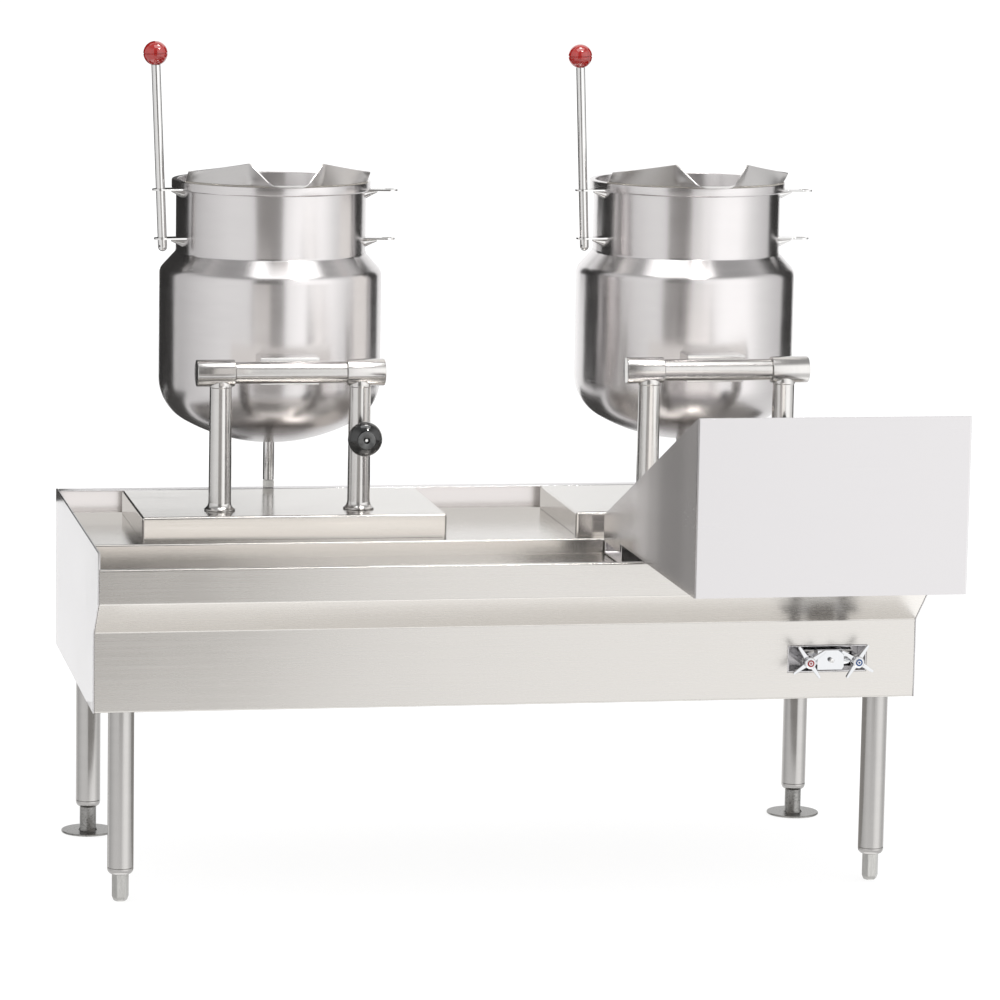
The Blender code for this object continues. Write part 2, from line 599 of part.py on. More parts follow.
def build_kettle(number, stand, meshes):
    name = f"kettle_{number}_"
    place = KETTLE_PLACES[number - 1]
    pivot = empty(name + "tilt_axis", stand, (place, TILT_DEPTH, TILT_HEIGHT))
    body = empty(name + "body_axis", pivot, (0.0, KETTLE_DEPTH - TILT_DEPTH, KETTLE_BOTTOM - TILT_HEIGHT))
    piece(name + "bowl", meshes["bowl"], BRUSHED, body)
    piece(name + "jacket", meshes["jacket"], BRUSHED, body)
    pour_lip(name + "pour_lip", meshes["lip"], body)
    upper = BOWL_TOP - TAB_BELOW_RIM_TOP
    lower = upper - TAB_SPACING
    upper_reach = LEVER_HOLE_REACH + TAB_SPACING * math.tan(LEVER_LEAN)
    headings = {"left": math.pi + TAB_FORWARD_ANGLE, "right": -TAB_FORWARD_ANGLE}
    for side, heading in headings.items():
        upper_root = BAND_RADIUS + SEAT_GAP
        lower_root = NECK_RADIUS + SEAT_GAP
        lever_tab(name + "tab_upper_" + side, body, upper, upper_root, upper_reach, heading)
        lever_tab(name + "tab_lower_" + side, body, lower, lower_root, LEVER_HOLE_REACH, heading)
    outward = Vector((math.cos(headings["left"]), math.sin(headings["left"]), 0.0))
    lever_line = Vector((0.0, 0.0, 1.0)) * math.cos(LEVER_LEAN) + outward * math.sin(LEVER_LEAN)
    lean = lever_line.to_track_quat("Z", "Y").to_euler()
    lever_start = outward * LEVER_HOLE_REACH + Vector((0.0, 0.0, lower))
    lever = empty(name + "lever_axis", body, lever_start, lean)
    piece(name + "lever_rod", meshes["lever_rod"], POLISHED, lever)
    piece(name + "lever_ball", meshes["lever_ball"], RED_PHENOLIC, lever, (0.0, 0.0, LEVER_LENGTH))
    piece(name + "trunnion_tube", meshes["trunnion"], BRUSHED, pivot, turn=(0.0, math.pi / 2, 0.0))
    saddle(name + "saddle", pivot)
    rest_top = -SEAT_GAP
    pad_bottom = PLATFORM_TOP + SEAT_GAP - KETTLE_BOTTOM
    pad_top = pad_bottom + REST_PAD_HEIGHT
    rod = turned(name + "rest_rod", rod_profile(REST_ROD_RADIUS, pad_top + SEAT_GAP, rest_top), SMALL_STEPS)
    piece(name + "rest_rod", rod, POLISHED, body)
    pad = turned(name + "rest_pad", rod_profile(REST_ROD_RADIUS, pad_bottom, pad_top), SMALL_STEPS)
    piece(name + "rest_pad", pad, WHITE_NYLON, body)
    for side, sign in (("left", -1.0), ("right", 1.0)):
        at = (place + sign * POST_SPACING / 2, TILT_DEPTH, PLATFORM_TOP)
        post(name + "post_" + side, stand, at, -sign, side == "right")
    forward = (math.pi / 2, 0.0, 0.0)
    valve_x = place + POST_SPACING / 2
    valve_z = PLATFORM_TOP + VALVE_HEIGHT
    bonnet_start = TILT_DEPTH - VALVE_BOSS_REACH - SEAT_GAP
    knob_start = bonnet_start - BONNET_LENGTH - SEAT_GAP
    piece(name + "valve_bonnet", meshes["bonnet"], POLISHED, stand, (valve_x, bonnet_start, valve_z), forward)
    piece(name + "valve_knob", meshes["knob"], BLACK_PHENOLIC, stand, (valve_x, knob_start, valve_z), forward)


def side_panel(name, stand, sign):
    # A flat end panel that follows the front profile, hemmed along its top and upper front.
    outer = sign * HALF_WIDTH
    inner = sign * (HALF_WIDTH - SHEET)
    hemmed = sign * (HALF_WIDTH - SHEET - SIDE_HEM_THICKNESS)
    outline = [
        (0.0, SIDE_TOP), (STAND_DEPTH, SIDE_TOP), (STAND_DEPTH, SKIRT_BOTTOM),
        (SKIRT_SETBACK, SKIRT_BOTTOM), (SKIRT_SETBACK, LOWER_CREASE), (0.0, UPPER_CREASE)]
    panel = piece(name, prism(name, outline, inner, outer), SATIN, stand)
    hem_low = SIDE_TOP - SIDE_HEM_HEIGHT
    front_low = RIM_TOP + SEAT_GAP
    hem = [
        (0.0, SIDE_TOP), (STAND_DEPTH, SIDE_TOP), (STAND_DEPTH, hem_low),
        (SIDE_HEM_HEIGHT, hem_low), (SIDE_HEM_HEIGHT, front_low), (0.0, front_low)]
    fold = prism(name + "_hem", hem, hemmed, (inner + outer) / 2)
    combine(panel, tool(name + "_hem", fold, stand), "UNION")
    return panel


def rear_panel(stand):
    # The back wall with a flange along its top and its bottom.
    path = [
        (STAND_DEPTH - BOTTOM_FLANGE, SKIRT_BOTTOM), (STAND_DEPTH, SKIRT_BOTTOM),
        (STAND_DEPTH, SIDE_TOP), (STAND_DEPTH - REAR_FLANGE, SIDE_TOP)]
    reach = INNER_HALF_WIDTH - SIDE_HEM_THICKNESS
    piece("rear_panel", prism("rear_panel", folded(path, SHEET), -reach, reach), SATIN, stand)


def front_fascia(stand):
    # One folded sheet: a hemmed rim, an upright band, a slope in and the lower skirt.
    path = [
        (RIM_HEM, RIM_TOP), (0.0, RIM_TOP), (0.0, UPPER_CREASE), (SKIRT_SETBACK, LOWER_CREASE),
        (SKIRT_SETBACK, SKIRT_BOTTOM), (SKIRT_SETBACK + BOTTOM_FLANGE, SKIRT_BOTTOM)]
    shape = prism("front_fascia", folded(path, SHEET), -INNER_HALF_WIDTH, INNER_HALF_WIDTH)
    fascia = piece("front_fascia", shape, BRUSHED, stand)
    low = SKIRT_BOTTOM + RECESS_ABOVE_BOTTOM
    half = RECESS_WIDTH / 2
    window = rectangle(-half, half, 0.0, RECESS_HEIGHT)
    hole = prism("recess_window", window, -SHEET, 2 * SHEET, "y")
    place = (FAUCET_PLACE, SKIRT_SETBACK, low)
    combine(fascia, tool("recess_window", hole, stand, place), "DIFFERENCE")


def deck_pan(stand):
    # The sunken deck, turned down at its front edge as the rear wall of the trough.
    path = [
        (STAND_DEPTH - SHEET - SEAT_GAP, DECK_TOP), (TROUGH_WIDTH, DECK_TOP),
        (TROUGH_WIDTH, TROUGH_FLOOR - SHEET)]
    shape = prism("deck_pan", folded(path, SHEET), -INNER_HALF_WIDTH, INNER_HALF_WIDTH)
    piece("deck_pan", shape, BRUSHED, stand)


def trough(stand):
    # The drain trough: a flat floor with a front wall under the rim, and a round outlet.
    front = 2 * SHEET + FOLD_GAP
    path = [
        (TROUGH_WIDTH - SEAT_GAP, TROUGH_FLOOR), (front, TROUGH_FLOOR),
        (front, RIM_TOP - SHEET - SEAT_GAP)]
    shape = prism("trough", folded(path, SHEET), -INNER_HALF_WIDTH, INNER_HALF_WIDTH)
    pan = piece("trough", shape, BRUSHED, stand)
    place = (KETTLE_PLACES[1], TROUGH_WIDTH - DRAIN_FROM_REAR_WALL, TROUGH_FLOOR)
    outlet = turned("trough_outlet", rod_profile(DRAIN_RADIUS + SEAT_GAP, -0.01, 0.01), TUBE_STEPS)
    combine(pan, tool("trough_outlet", outlet, stand, place), "DIFFERENCE")
    bore = DRAIN_RADIUS - DRAIN_WALL
    under = -SHEET - SEAT_GAP
    tail = [
        (bore, 0.0), (DRAIN_RADIUS, 0.0), (DRAIN_RADIUS, under), (DRAIN_FLANGE_RADIUS, under),
        (DRAIN_FLANGE_RADIUS, under - 0.003), (DRAIN_RADIUS, under - 0.003),
        (DRAIN_RADIUS, -DRAIN_LENGTH), (bore, -DRAIN_LENGTH)]
    piece("trough_drain", turned("trough_drain", tail, TUBE_STEPS, closed=True), CHROME, stand, place)


def platform(number, stand):
    # A raised kettle platform: a pressed pan, open below, with small edge radii.
    name = f"platform_{number}"
    low = DECK_TOP + SEAT_GAP
    back = STAND_DEPTH - REAR_FLANGE - SEAT_GAP
    half = PLATFORM_WIDTH / 2
    work = bmesh.new()
    corners = [(-half, PLATFORM_FRONT), (half, PLATFORM_FRONT), (half, back), (-half, back)]
    foot = [work.verts.new((x, y, low)) for x, y in corners]
    head = [work.verts.new((x, y, PLATFORM_TOP)) for x, y in corners]
    work.faces.new(head)
    for index in range(4):
        after = (index + 1) % 4
        work.faces.new((foot[index], foot[after], head[after], head[index]))
    sharp = [edge for edge in work.edges if not edge.is_boundary]
    bmesh.ops.bevel(work, geom=sharp, offset=PLATFORM_EDGE_RADIUS, segments=2, profile=0.5, affect="EDGES")
    mesh = as_mesh(name, work)
    pan = piece(name, mesh, BRUSHED, stand, (KETTLE_PLACES[number - 1], 0.0, 0.0))
    wall = pan.modifiers.new("sheet", "SOLIDIFY")
    wall.thickness = SHEET
    wall.offset = -1.0
    wall.use_even_offset = True


def leg_mesh(top):
    # A tube leg with a rounded lower shoulder, drilled for the foot stem.
    bore = STEM_RADIUS + RUNNING_GAP
    profile = [(bore, LEG_END_HEIGHT), (LEG_RADIUS - 0.6 * LEG_SHOULDER, LEG_END_HEIGHT)]
    for step in range(3):
        angle = math.pi / 6 * (step + 1)
        profile.append((
            LEG_RADIUS - 0.6 * LEG_SHOULDER * (1 - math.sin(angle)),
            LEG_END_HEIGHT + LEG_SHOULDER * (1 - math.cos(angle))))
    profile += [
        (LEG_RADIUS, top), (LEG_RADIUS - LEG_WALL, top),
        (LEG_RADIUS - LEG_WALL, LEG_END_HEIGHT + LEG_PLUG_DEPTH), (bore, LEG_END_HEIGHT + LEG_PLUG_DEPTH)]
    return turned("leg", profile, TUBE_STEPS, closed=True)


def hex_foot(name, parent, at):
    # A six-sided adjustable foot, tapered to the floor, on a round stem.
    top = LEG_END_HEIGHT - RUNNING_GAP
    sides = [
        (0.0, 0.0), (HEX_FOOT_RADIUS - HEX_FOOT_TAPER, 0.0), (HEX_FOOT_RADIUS, 3 * HEX_FOOT_TAPER),
        (HEX_FOOT_RADIUS, top), (0.0, top)]
    foot = piece(name, turned(name, sides, 6), SATIN, parent, at)
    stem = turned(name + "_stem", rod_profile(STEM_RADIUS, top / 2, top + STEM_INSERTION), SMALL_STEPS)
    combine(foot, tool(name + "_stem", stem, foot), "UNION")


def flange_foot_mesh():
    # A round floor flange on a collar and a stem.
    top = LEG_END_HEIGHT - RUNNING_GAP
    thick = FLANGE_FOOT_THICKNESS
    profile = [
        (0.0, 0.0), (FLANGE_FOOT_RADIUS, 0.0), (FLANGE_FOOT_RADIUS, thick), (COLLAR_RADIUS + 0.0015, thick),
        (COLLAR_RADIUS, thick + 0.003), (COLLAR_RADIUS, top), (STEM_RADIUS, top),
        (STEM_RADIUS, top + STEM_INSERTION), (0.0, top + STEM_INSERTION)]
    return turned("flange_foot", profile, TUBE_STEPS)


def legs_and_feet(stand):
    tops = {"front": TROUGH_FLOOR - SHEET - SEAT_GAP, "rear": DECK_TOP - SHEET - SEAT_GAP}
    flange = flange_foot_mesh()
    for row, depth in LEG_DEPTHS.items():
        mesh = leg_mesh(tops[row])
        for side, sign in (("left", -1.0), ("right", 1.0)):
            at = (sign * (HALF_WIDTH - LEG_INSET_SIDE), depth, 0.0)
            piece(f"leg_{row}_{side}", mesh, BRUSHED, stand, at)
            if row == "front":
                hex_foot(f"foot_{row}_{side}", stand, at)
            else:
                piece(f"foot_{row}_{side}", flange, SATIN, stand, at)


def splash_shield(stand):
    # A front plate with two wings, cut to a slope from the front down to the rear.
    half = SHIELD_WIDTH / 2
    low = RIM_TOP + SEAT_GAP
    tail_low = low - SHIELD_TAIL_DROP
    plan = folded([
        (half, SHIELD_REAR_DEPTH), (half, -SHIELD_REACH), (-half, -SHIELD_REACH),
        (-half, SHIELD_REAR_DEPTH)][::-1], SHEET)
    shape = prism("splash_shield", plan, tail_low, low + SHIELD_HEIGHT, "z")
    shield = piece("splash_shield", shape, SATIN, stand, (SHIELD_PLACE, 0.0, 0.0))
    high = low + SHIELD_HEIGHT
    rear_high = low + SHIELD_REAR_HEIGHT
    rise = (high - rear_high) / (SHIELD_REAR_DEPTH + SHIELD_REACH - SHEET)
    past = 0.02
    above = [
        (-SHIELD_REACH + SHEET, high), (SHIELD_REAR_DEPTH + past, rear_high - rise * past),
        (SHIELD_REAR_DEPTH + past, high + past), (-SHIELD_REACH + SHEET, high + past)]
    slope = prism("shield_slope", above, -SHIELD_WIDTH, SHIELD_WIDTH)
    combine(shield, tool("shield_slope", slope, shield), "DIFFERENCE")
    tail_front = SHIELD_REAR_DEPTH - SHIELD_TAIL_LENGTH
    below = rectangle(-SHIELD_REACH - past, tail_front, tail_low - past, low)
    step = prism("shield_step", below, -SHIELD_WIDTH, SHIELD_WIDTH)
    combine(shield, tool("shield_step", step, shield), "DIFFERENCE")


def drain_drawer(stand):
    # A folded tray: a front lip, a floor sloping back, and a gutter lying in the trough.
    reach = SHIELD_WIDTH / 2 - SHEET - SEAT_GAP
    front = SHEET + FOLD_GAP - SHIELD_REACH
    gutter_front = SHIELD_REAR_DEPTH - SHIELD_TAIL_LENGTH
    gutter_floor = TROUGH_FLOOR + GUTTER_FLOOR_GAP
    low_end = RIM_TOP + 2 * SEAT_GAP + SHEET
    path = [
        (front, low_end + DRAWER_SLOPE + DRAWER_FRONT_LIP), (front, low_end + DRAWER_SLOPE),
        (gutter_front, low_end), (gutter_front, gutter_floor),
        (TROUGH_WIDTH - GUTTER_REAR_GAP, gutter_floor),
        (TROUGH_WIDTH - GUTTER_REAR_GAP, RIM_TOP - SHIELD_TAIL_DROP - SEAT_GAP)]
    outline = folded([(y, z) for y, z in path], SHEET)
    piece("drain_drawer", prism("drain_drawer", outline, -reach, reach), SATIN, stand,
          (SHIELD_PLACE, 0.0, 0.0))


def faucet(stand):
    # The hot and cold valve in its recess, with four-arm handles on each side.
    wall = SHEET * 0.75
    width = RECESS_WIDTH / 2 - SEAT_GAP
    low = SEAT_GAP
    high = RECESS_HEIGHT - SEAT_GAP
    work = bmesh.new()
    corners = [(-width, low), (width, low), (width, high), (-width, high)]
    front = [work.verts.new((x, 0.0, z)) for x, z in corners]
    back = [work.verts.new((x, RECESS_DEPTH, z)) for x, z in corners]
    work.faces.new(back)
    for index in range(4):
        after = (index + 1) % 4
        work.faces.new((front[index], front[after], back[after], back[index]))
    place = (FAUCET_PLACE, SKIRT_SETBACK, SKIRT_BOTTOM + RECESS_ABOVE_BOTTOM)
    box = piece("faucet_recess", as_mesh("faucet_recess", work), SATIN, stand, place)
    lining = box.modifiers.new("sheet", "SOLIDIFY")
    lining.thickness = wall
    lining.offset = -1.0
    lining.use_even_offset = True
    centre = empty("faucet_centre", stand, (FAUCET_PLACE, SKIRT_SETBACK, SKIRT_BOTTOM + FAUCET_ABOVE_BOTTOM))
    back_face = RECESS_DEPTH - wall - SEAT_GAP
    half = HANDLE_SPACING / 2
    bar = turned("faucet_body", rod_profile(FAUCET_BODY_RADIUS, -half, half), TUBE_STEPS)
    body = piece("faucet_body", bar, CHROME, centre, (0.0, FAUCET_BODY_RADIUS / 2, 0.0), (0.0, math.pi / 2, 0.0))
    plate = rectangle(-FAUCET_PLATE_WIDTH / 2, FAUCET_PLATE_WIDTH / 2, -FAUCET_PLATE_HEIGHT / 2,
                      FAUCET_PLATE_HEIGHT / 2)
    face = prism("faucet_plate", plate, -FAUCET_PLATE_PROUD, FAUCET_BODY_RADIUS / 2, "y")
    combine(body, tool("faucet_plate", face, centre), "UNION")
    hub_back = HANDLE_FRONT_PROUD - BUTTON_THICKNESS - HANDLE_HUB_LENGTH
    for side, sign in (("hot", -1.0), ("cold", 1.0)):
        stem = turned(side + "_stem", rod_profile(FAUCET_STEM_RADIUS, -back_face, hub_back - RUNNING_GAP),
                      SMALL_STEPS)
        at = (sign * half, 0.0, 0.0)
        combine(body, tool(side + "_stem", stem, centre, at, (math.pi / 2, 0.0, 0.0)), "UNION")
    for index, (side, sign, finish) in enumerate((("hot", -1.0, RED_INDEX), ("cold", 1.0, BLUE_INDEX))):
        at = (sign * half, -hub_back, 0.0)
        cross_handle(side + "_handle", centre, at, HANDLE_TURNS[index])
        disc = turned(side + "_index", rod_profile(BUTTON_RADIUS, SEAT_GAP, BUTTON_THICKNESS), SMALL_STEPS)
        button_at = (sign * half, -hub_back - HANDLE_HUB_LENGTH, 0.0)
        piece(side + "_index_button", disc, finish, centre, button_at, (math.pi / 2, 0.0, 0.0))


def cross_handle(name, parent, at, turn):
    # Four tapered arms round a hub.
    outline = []
    for arm in range(4):
        angle = arm * math.pi / 2
        along = Vector((math.cos(angle), math.sin(angle)))
        across = Vector((-along.y, along.x))
        root = along * HANDLE_ARM_ROOT
        outline.append(tuple(root - across * HANDLE_ARM_ROOT))
        outline.append(tuple(along * HANDLE_ARM_REACH - across * HANDLE_ARM_TIP))
        outline.append(tuple(along * HANDLE_ARM_REACH + across * HANDLE_ARM_TIP))
    arms_low = HANDLE_HUB_LENGTH * 0.35
    arms = prism(name, outline, arms_low, arms_low + HANDLE_ARM_THICKNESS, "z")
    handle = piece(name, arms, CHROME, parent, at, (math.pi / 2, 0.0, 0.0))
    handle.rotation_euler = (math.pi / 2, -turn, 0.0)
    hub = turned(name + "_hub", rod_profile(HANDLE_HUB_RADIUS, 0.0, HANDLE_HUB_LENGTH), SMALL_STEPS)
    combine(handle, tool(name + "_hub", hub, handle), "UNION")


def build_stand(stand):
    side_panel("side_panel_left", stand, -1.0)
    side_panel("side_panel_right", stand, 1.0)
    rear_panel(stand)
    front_fascia(stand)
    deck_pan(stand)
    trough(stand)
    legs_and_feet(stand)
    splash_shield(stand)
    drain_drawer(stand)
    faucet(stand)


def main():
    clear_scene()
    stand = empty("stand_datum", None, (0.0, -MID_DEPTH, 0.0))
    build_stand(stand)
    meshes = {
        "bowl": bowl_mesh(), "jacket": jacket_mesh(), "lip": lip_mesh(),
        "lever_rod": lever_rod_mesh(), "lever_ball": ball_mesh(), "trunnion": trunnion_mesh(),
        "bonnet": bonnet_mesh(), "knob": knob_mesh()}
    for number in (1, 2):
        platform(number, stand)
        build_kettle(number, stand, meshes)


main()
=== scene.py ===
from math import asin, cos, degrees, dist, pi, radians, sin, sqrt, tan, tau

import bmesh
import bpy
from mathutils import Euler, Matrix, Vector


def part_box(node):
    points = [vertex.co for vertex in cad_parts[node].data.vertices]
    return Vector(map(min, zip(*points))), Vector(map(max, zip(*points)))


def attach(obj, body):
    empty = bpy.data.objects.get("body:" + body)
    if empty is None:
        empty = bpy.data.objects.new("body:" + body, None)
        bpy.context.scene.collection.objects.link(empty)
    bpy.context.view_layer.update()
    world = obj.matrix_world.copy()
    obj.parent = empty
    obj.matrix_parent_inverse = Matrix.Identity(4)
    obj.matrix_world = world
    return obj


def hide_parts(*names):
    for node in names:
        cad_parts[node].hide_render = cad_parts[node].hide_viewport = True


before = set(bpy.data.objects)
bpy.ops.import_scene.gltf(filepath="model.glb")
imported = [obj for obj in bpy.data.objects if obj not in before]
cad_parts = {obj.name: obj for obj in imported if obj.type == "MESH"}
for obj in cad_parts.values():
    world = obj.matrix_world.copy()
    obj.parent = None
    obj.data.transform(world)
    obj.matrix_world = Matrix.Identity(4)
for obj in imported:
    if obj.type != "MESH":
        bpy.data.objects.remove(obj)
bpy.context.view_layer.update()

scene = bpy.context.scene
print("frame loaded with", len(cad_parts), "nodes")


# small helpers

quarter = pi / 2
facing = (quarter, 0, 0)  # lays an upright shape down to face the front
allSmooth = 180.0  # an angle at which no edge counts as sharp
samePoint = 2e-6  # points closer than this become one point
smallGap = 0.0003  # left where a shape meets its neighbour
drillHalf = 0.02  # half the length of a drill, more than it has to pass


def hexColour(code):
    # sRGB hex to the linear values that shader sockets take
    parts = [int(code[at:at + 2], 16) / 255 for at in (1, 3, 5)]
    return tuple(v / 12.92 if v <= 0.04045 else ((v + 0.055) / 1.055) ** 2.4 for v in parts) + (1.0,)


def setInputs(tree, node, inputs):
    # each input is set to a value, or linked to a socket or to a node's first output
    for key, value in inputs.items():
        if isinstance(value, bpy.types.Node):
            value = value.outputs[0]
        if isinstance(value, bpy.types.NodeSocket):
            tree.links.new(value, node.inputs[key])
        else:
            node.inputs[key].default_value = value


def addNode(tree, kind, inputs=None, **settings):
    # one node, with its settings and then its inputs
    node = tree.nodes.new(kind)
    for key, value in settings.items():
        setattr(node, key, value)
    setInputs(tree, node, inputs or {})
    return node


def fillRamp(ramp, stops):
    # stops are (position, colour) in rising order
    elements = ramp.color_ramp.elements
    while len(elements) < len(stops):
        elements.new(0.5)
    for element, (position, colour) in zip(elements, stops):
        element.position = position
        element.color = colour


def boxMiddle(node):
    low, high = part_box(node)
    return (low + high) / 2


def placed(at, turn=(0, 0, 0)):
    return Matrix.Translation(Vector(at)) @ Euler(turn).to_matrix().to_4x4()


def linkMesh(name, mesh):
    thing = bpy.data.objects.new(name, mesh)
    scene.collection.objects.link(thing)
    return thing


def linkPoints(name, points, edges, faces):
    mesh = bpy.data.meshes.new(name)
    mesh.from_pydata(points, edges, faces)
    return linkMesh(name, mesh)


def linkLine(name, points):
    return linkPoints(name, points, [(i, i + 1) for i in range(len(points) - 1)], [])


def linkWork(name, work):
    # a bmesh that is done with becomes an object
    mesh = bpy.data.meshes.new(name)
    work.to_mesh(mesh)
    work.free()
    return linkMesh(name, mesh)


def bakeShape(thing):
    # the evaluated result becomes the plain mesh, and no modifier is left
    graph = bpy.context.evaluated_depsgraph_get()
    mesh = bpy.data.meshes.new_from_object(
        thing.evaluated_get(graph), preserve_all_data_layers=True, depsgraph=graph)
    thing.modifiers.clear()
    thing.data = mesh
    return thing


def cleanMesh(thing, sharp=35.0, matrix=None):
    work = bmesh.new()
    work.from_mesh(thing.data)
    if matrix is not None:
        work.transform(matrix)
    bmesh.ops.remove_doubles(work, verts=work.verts, dist=samePoint)
    bmesh.ops.recalc_face_normals(work, faces=work.faces)
    work.to_mesh(thing.data)
    work.free()
    thing.data.shade_smooth()
    thing.data.set_sharp_from_angle(angle=radians(sharp))
    return thing


def joinShape(base, other, how):
    change = base.modifiers.new("shape", "BOOLEAN")
    change.operation = how
    change.solver = "EXACT"
    change.object = other
    bakeShape(base)
    bpy.data.objects.remove(other, do_unlink=True)


def softenEdges(thing, width, steps=2, angle=35.0):
    # small rounds on the sharp edges, with the flat faces kept flat in the shading
    thing.data.shade_smooth()
    bevel = thing.modifiers.new("edges", "BEVEL")
    bevel.width = width
    bevel.segments = steps
    bevel.limit_method = "ANGLE"
    bevel.angle_limit = radians(angle)
    level = thing.modifiers.new("flats", "WEIGHTED_NORMAL")
    level.weight = 100
    level.keep_sharp = False
    return bakeShape(thing)


def finishPiece(thing, material, body, nodes):
    thing.data.materials.clear()
    thing.data.materials.append(material)
    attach(thing, body)
    if nodes:
        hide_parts(*nodes)


def startTree(name, takes):
    # a geometry tree with its named inputs
    tree = bpy.data.node_groups.new(name, "GeometryNodeTree")
    for label, kind in takes.items():
        tree.interface.new_socket(label, in_out="INPUT", socket_type="NodeSocket" + kind)
    tree.interface.new_socket("Shape", in_out="OUTPUT", socket_type="NodeSocketGeometry")
    return tree, addNode(tree, "NodeGroupInput").outputs


def endTree(tree, shape, finish):
    # every tree ends in plain geometry that has its material
    real = addNode(tree, "GeometryNodeRealizeInstances", {0: shape})
    painted = addNode(tree, "GeometryNodeSetMaterial", {"Geometry": real, "Material": finish})
    addNode(tree, "NodeGroupOutput", {0: painted})
    return tree


def runTree(thing, tree, values):
    # inputs are set by socket identifier, then the tree's result becomes the mesh
    change = thing.modifiers.new("tree", "NODES")
    change.node_group = tree
    for item in tree.interface.items_tree:
        if item.name in values:
            change[item.identifier] = values[item.name]
    bakeShape(thing)


# turned parts: a profile taken round the axis by a node tree

def makeTurningTree():
    takes = {"Profile": "Geometry", "Steps Round": "Int", "Grain Length": "Float", "Profile Length": "Float",
             "Finish": "Material"}
    tree, start = startTree("turnedPart", takes)
    profile, steps = start["Profile"], start["Steps Round"]
    count = addNode(tree, "GeometryNodeAttributeDomainSize", {0: profile}).outputs["Point Count"]
    columns = addNode(tree, "ShaderNodeMath", {0: steps, 1: 1.0}, operation="ADD")
    sizes = {"Size X": 1.0, "Size Y": 1.0, "Vertices X": columns, "Vertices Y": count}
    grid = addNode(tree, "GeometryNodeMeshGrid", sizes).outputs
    index = addNode(tree, "GeometryNodeInputIndex")
    row = addNode(tree, "ShaderNodeMath", {0: index, 1: count}, operation="MODULO")
    share = addNode(tree, "ShaderNodeMath", {0: index, 1: count}, operation="DIVIDE")
    column = addNode(tree, "ShaderNodeMath", {0: share}, operation="FLOOR")
    around = addNode(tree, "ShaderNodeMath", {0: column, 1: steps}, operation="DIVIDE")
    angle = addNode(tree, "ShaderNodeMath", {0: around, 1: tau}, operation="MULTIPLY")
    place = addNode(tree, "GeometryNodeInputPosition")
    point = addNode(tree, "GeometryNodeSampleIndex", {"Geometry": profile, "Value": place, "Index": row},
                    data_type="FLOAT_VECTOR", domain="POINT").outputs["Value"]
    split = addNode(tree, "ShaderNodeSeparateXYZ", {0: point}).outputs
    across = addNode(tree, "ShaderNodeMath", {0: angle}, operation="COSINE")
    along = addNode(tree, "ShaderNodeMath", {0: angle}, operation="SINE")
    xPart = addNode(tree, "ShaderNodeMath", {0: across, 1: split["X"]}, operation="MULTIPLY")
    yPart = addNode(tree, "ShaderNodeMath", {0: along, 1: split["X"]}, operation="MULTIPLY")
    spot = addNode(tree, "ShaderNodeCombineXYZ", {0: xPart, 1: yPart, 2: split["Z"]})
    moved = addNode(tree, "GeometryNodeSetPosition", {"Geometry": grid["Mesh"], "Position": spot})
    size = addNode(tree, "ShaderNodeCombineXYZ", {0: start["Grain Length"], 1: start["Profile Length"]})
    scaled = addNode(tree, "ShaderNodeVectorMath", {0: grid["UV Map"], 1: size}, operation="MULTIPLY")
    stored = addNode(tree, "GeometryNodeStoreNamedAttribute",
                     {"Name": "grainMap", "Geometry": moved, "Value": scaled},
                     data_type="FLOAT2", domain="CORNER")
    merged = addNode(tree, "GeometryNodeMergeByDistance", {"Distance": samePoint, "Geometry": stored})
    return endTree(tree, merged, start["Finish"])


turningTree = makeTurningTree()


def turned(name, profile, material, steps, place, closed=False, sharp=35.0):
    # profile points are (radius, height); a closed one is a ring, an open one starts and ends on the axis
    points = list(profile) + ([profile[0]] if closed else [])
    thing = linkLine(name, [(r, 0, z) for r, z in points])
    runTree(thing, turningTree, {
        "Steps Round": steps, "Grain Length": tau * max(r for r, z in points),
        "Profile Length": sum(dist(a, b) for a, b in zip(points, points[1:])), "Finish": material})
    return cleanMesh(thing, sharp, place)


def turnedPiece(name, profile, material, steps, place, body, nodes, slot, **shape):
    finishPiece(turned(name, profile, material, steps, place, **shape), material, body, nodes)


def slab(name, outline, low, high):
    # a closed outline pushed straight up
    work = bmesh.new()
    below = [work.verts.new((a, b, low)) for a, b in outline]
    above = [work.verts.new((a, b, high)) for a, b in outline]
    work.faces.new(below)
    work.faces.new(above[::-1])
    for i, corner in enumerate(below):
        j = (i + 1) % len(below)
        work.faces.new((corner, above[i], above[j], below[j]))
    return cleanMesh(linkWork(name, work))


def arcPoints(cx, cz, radius, start, end, steps):
    # points on an arc, angles in degrees from +X towards +Z
    turns = [radians(start + (end - start) * i / steps) for i in range(steps + 1)]
    return [(cx + radius * cos(t), cz + radius * sin(t)) for t in turns]


def roundCorner(before, corner, after, reach, steps):
    b, c, a = Vector(before), Vector(corner), Vector(after)
    first = c + (b - c).normalized() * reach
    last = c + (a - c).normalized() * reach
    shares = [i / steps for i in range(steps + 1)]
    return [tuple(first.lerp(c, s).lerp(c.lerp(last, s), s)) for s in shares]


def dishedEnd(radius, crown, knuckle, height, crownSteps, knuckleSteps):
    # a dished end from the axis outwards: shallow crown, tighter knuckle
    sweep = degrees(asin((radius - knuckle) / (crown - knuckle)))
    rise = crown - sqrt((crown - knuckle) ** 2 - (radius - knuckle) ** 2)
    turns = [radians(sweep * i / crownSteps) for i in range(crownSteps + 1)]
    shallow = [(crown * sin(t), height + crown * (1 - cos(t))) for t in turns]
    tight = arcPoints(radius - knuckle, height + rise, knuckle, sweep - 90, 0, knuckleSteps)
    return shallow + tight[1:]


def chamfered(radius, low, high, edge):
    # a plain round bar whose two end edges are broken
    inner = radius - edge
    return [(0, low), (inner, low), (radius, low + edge), (radius, high - edge), (inner, high), (0, high)]


# finishes

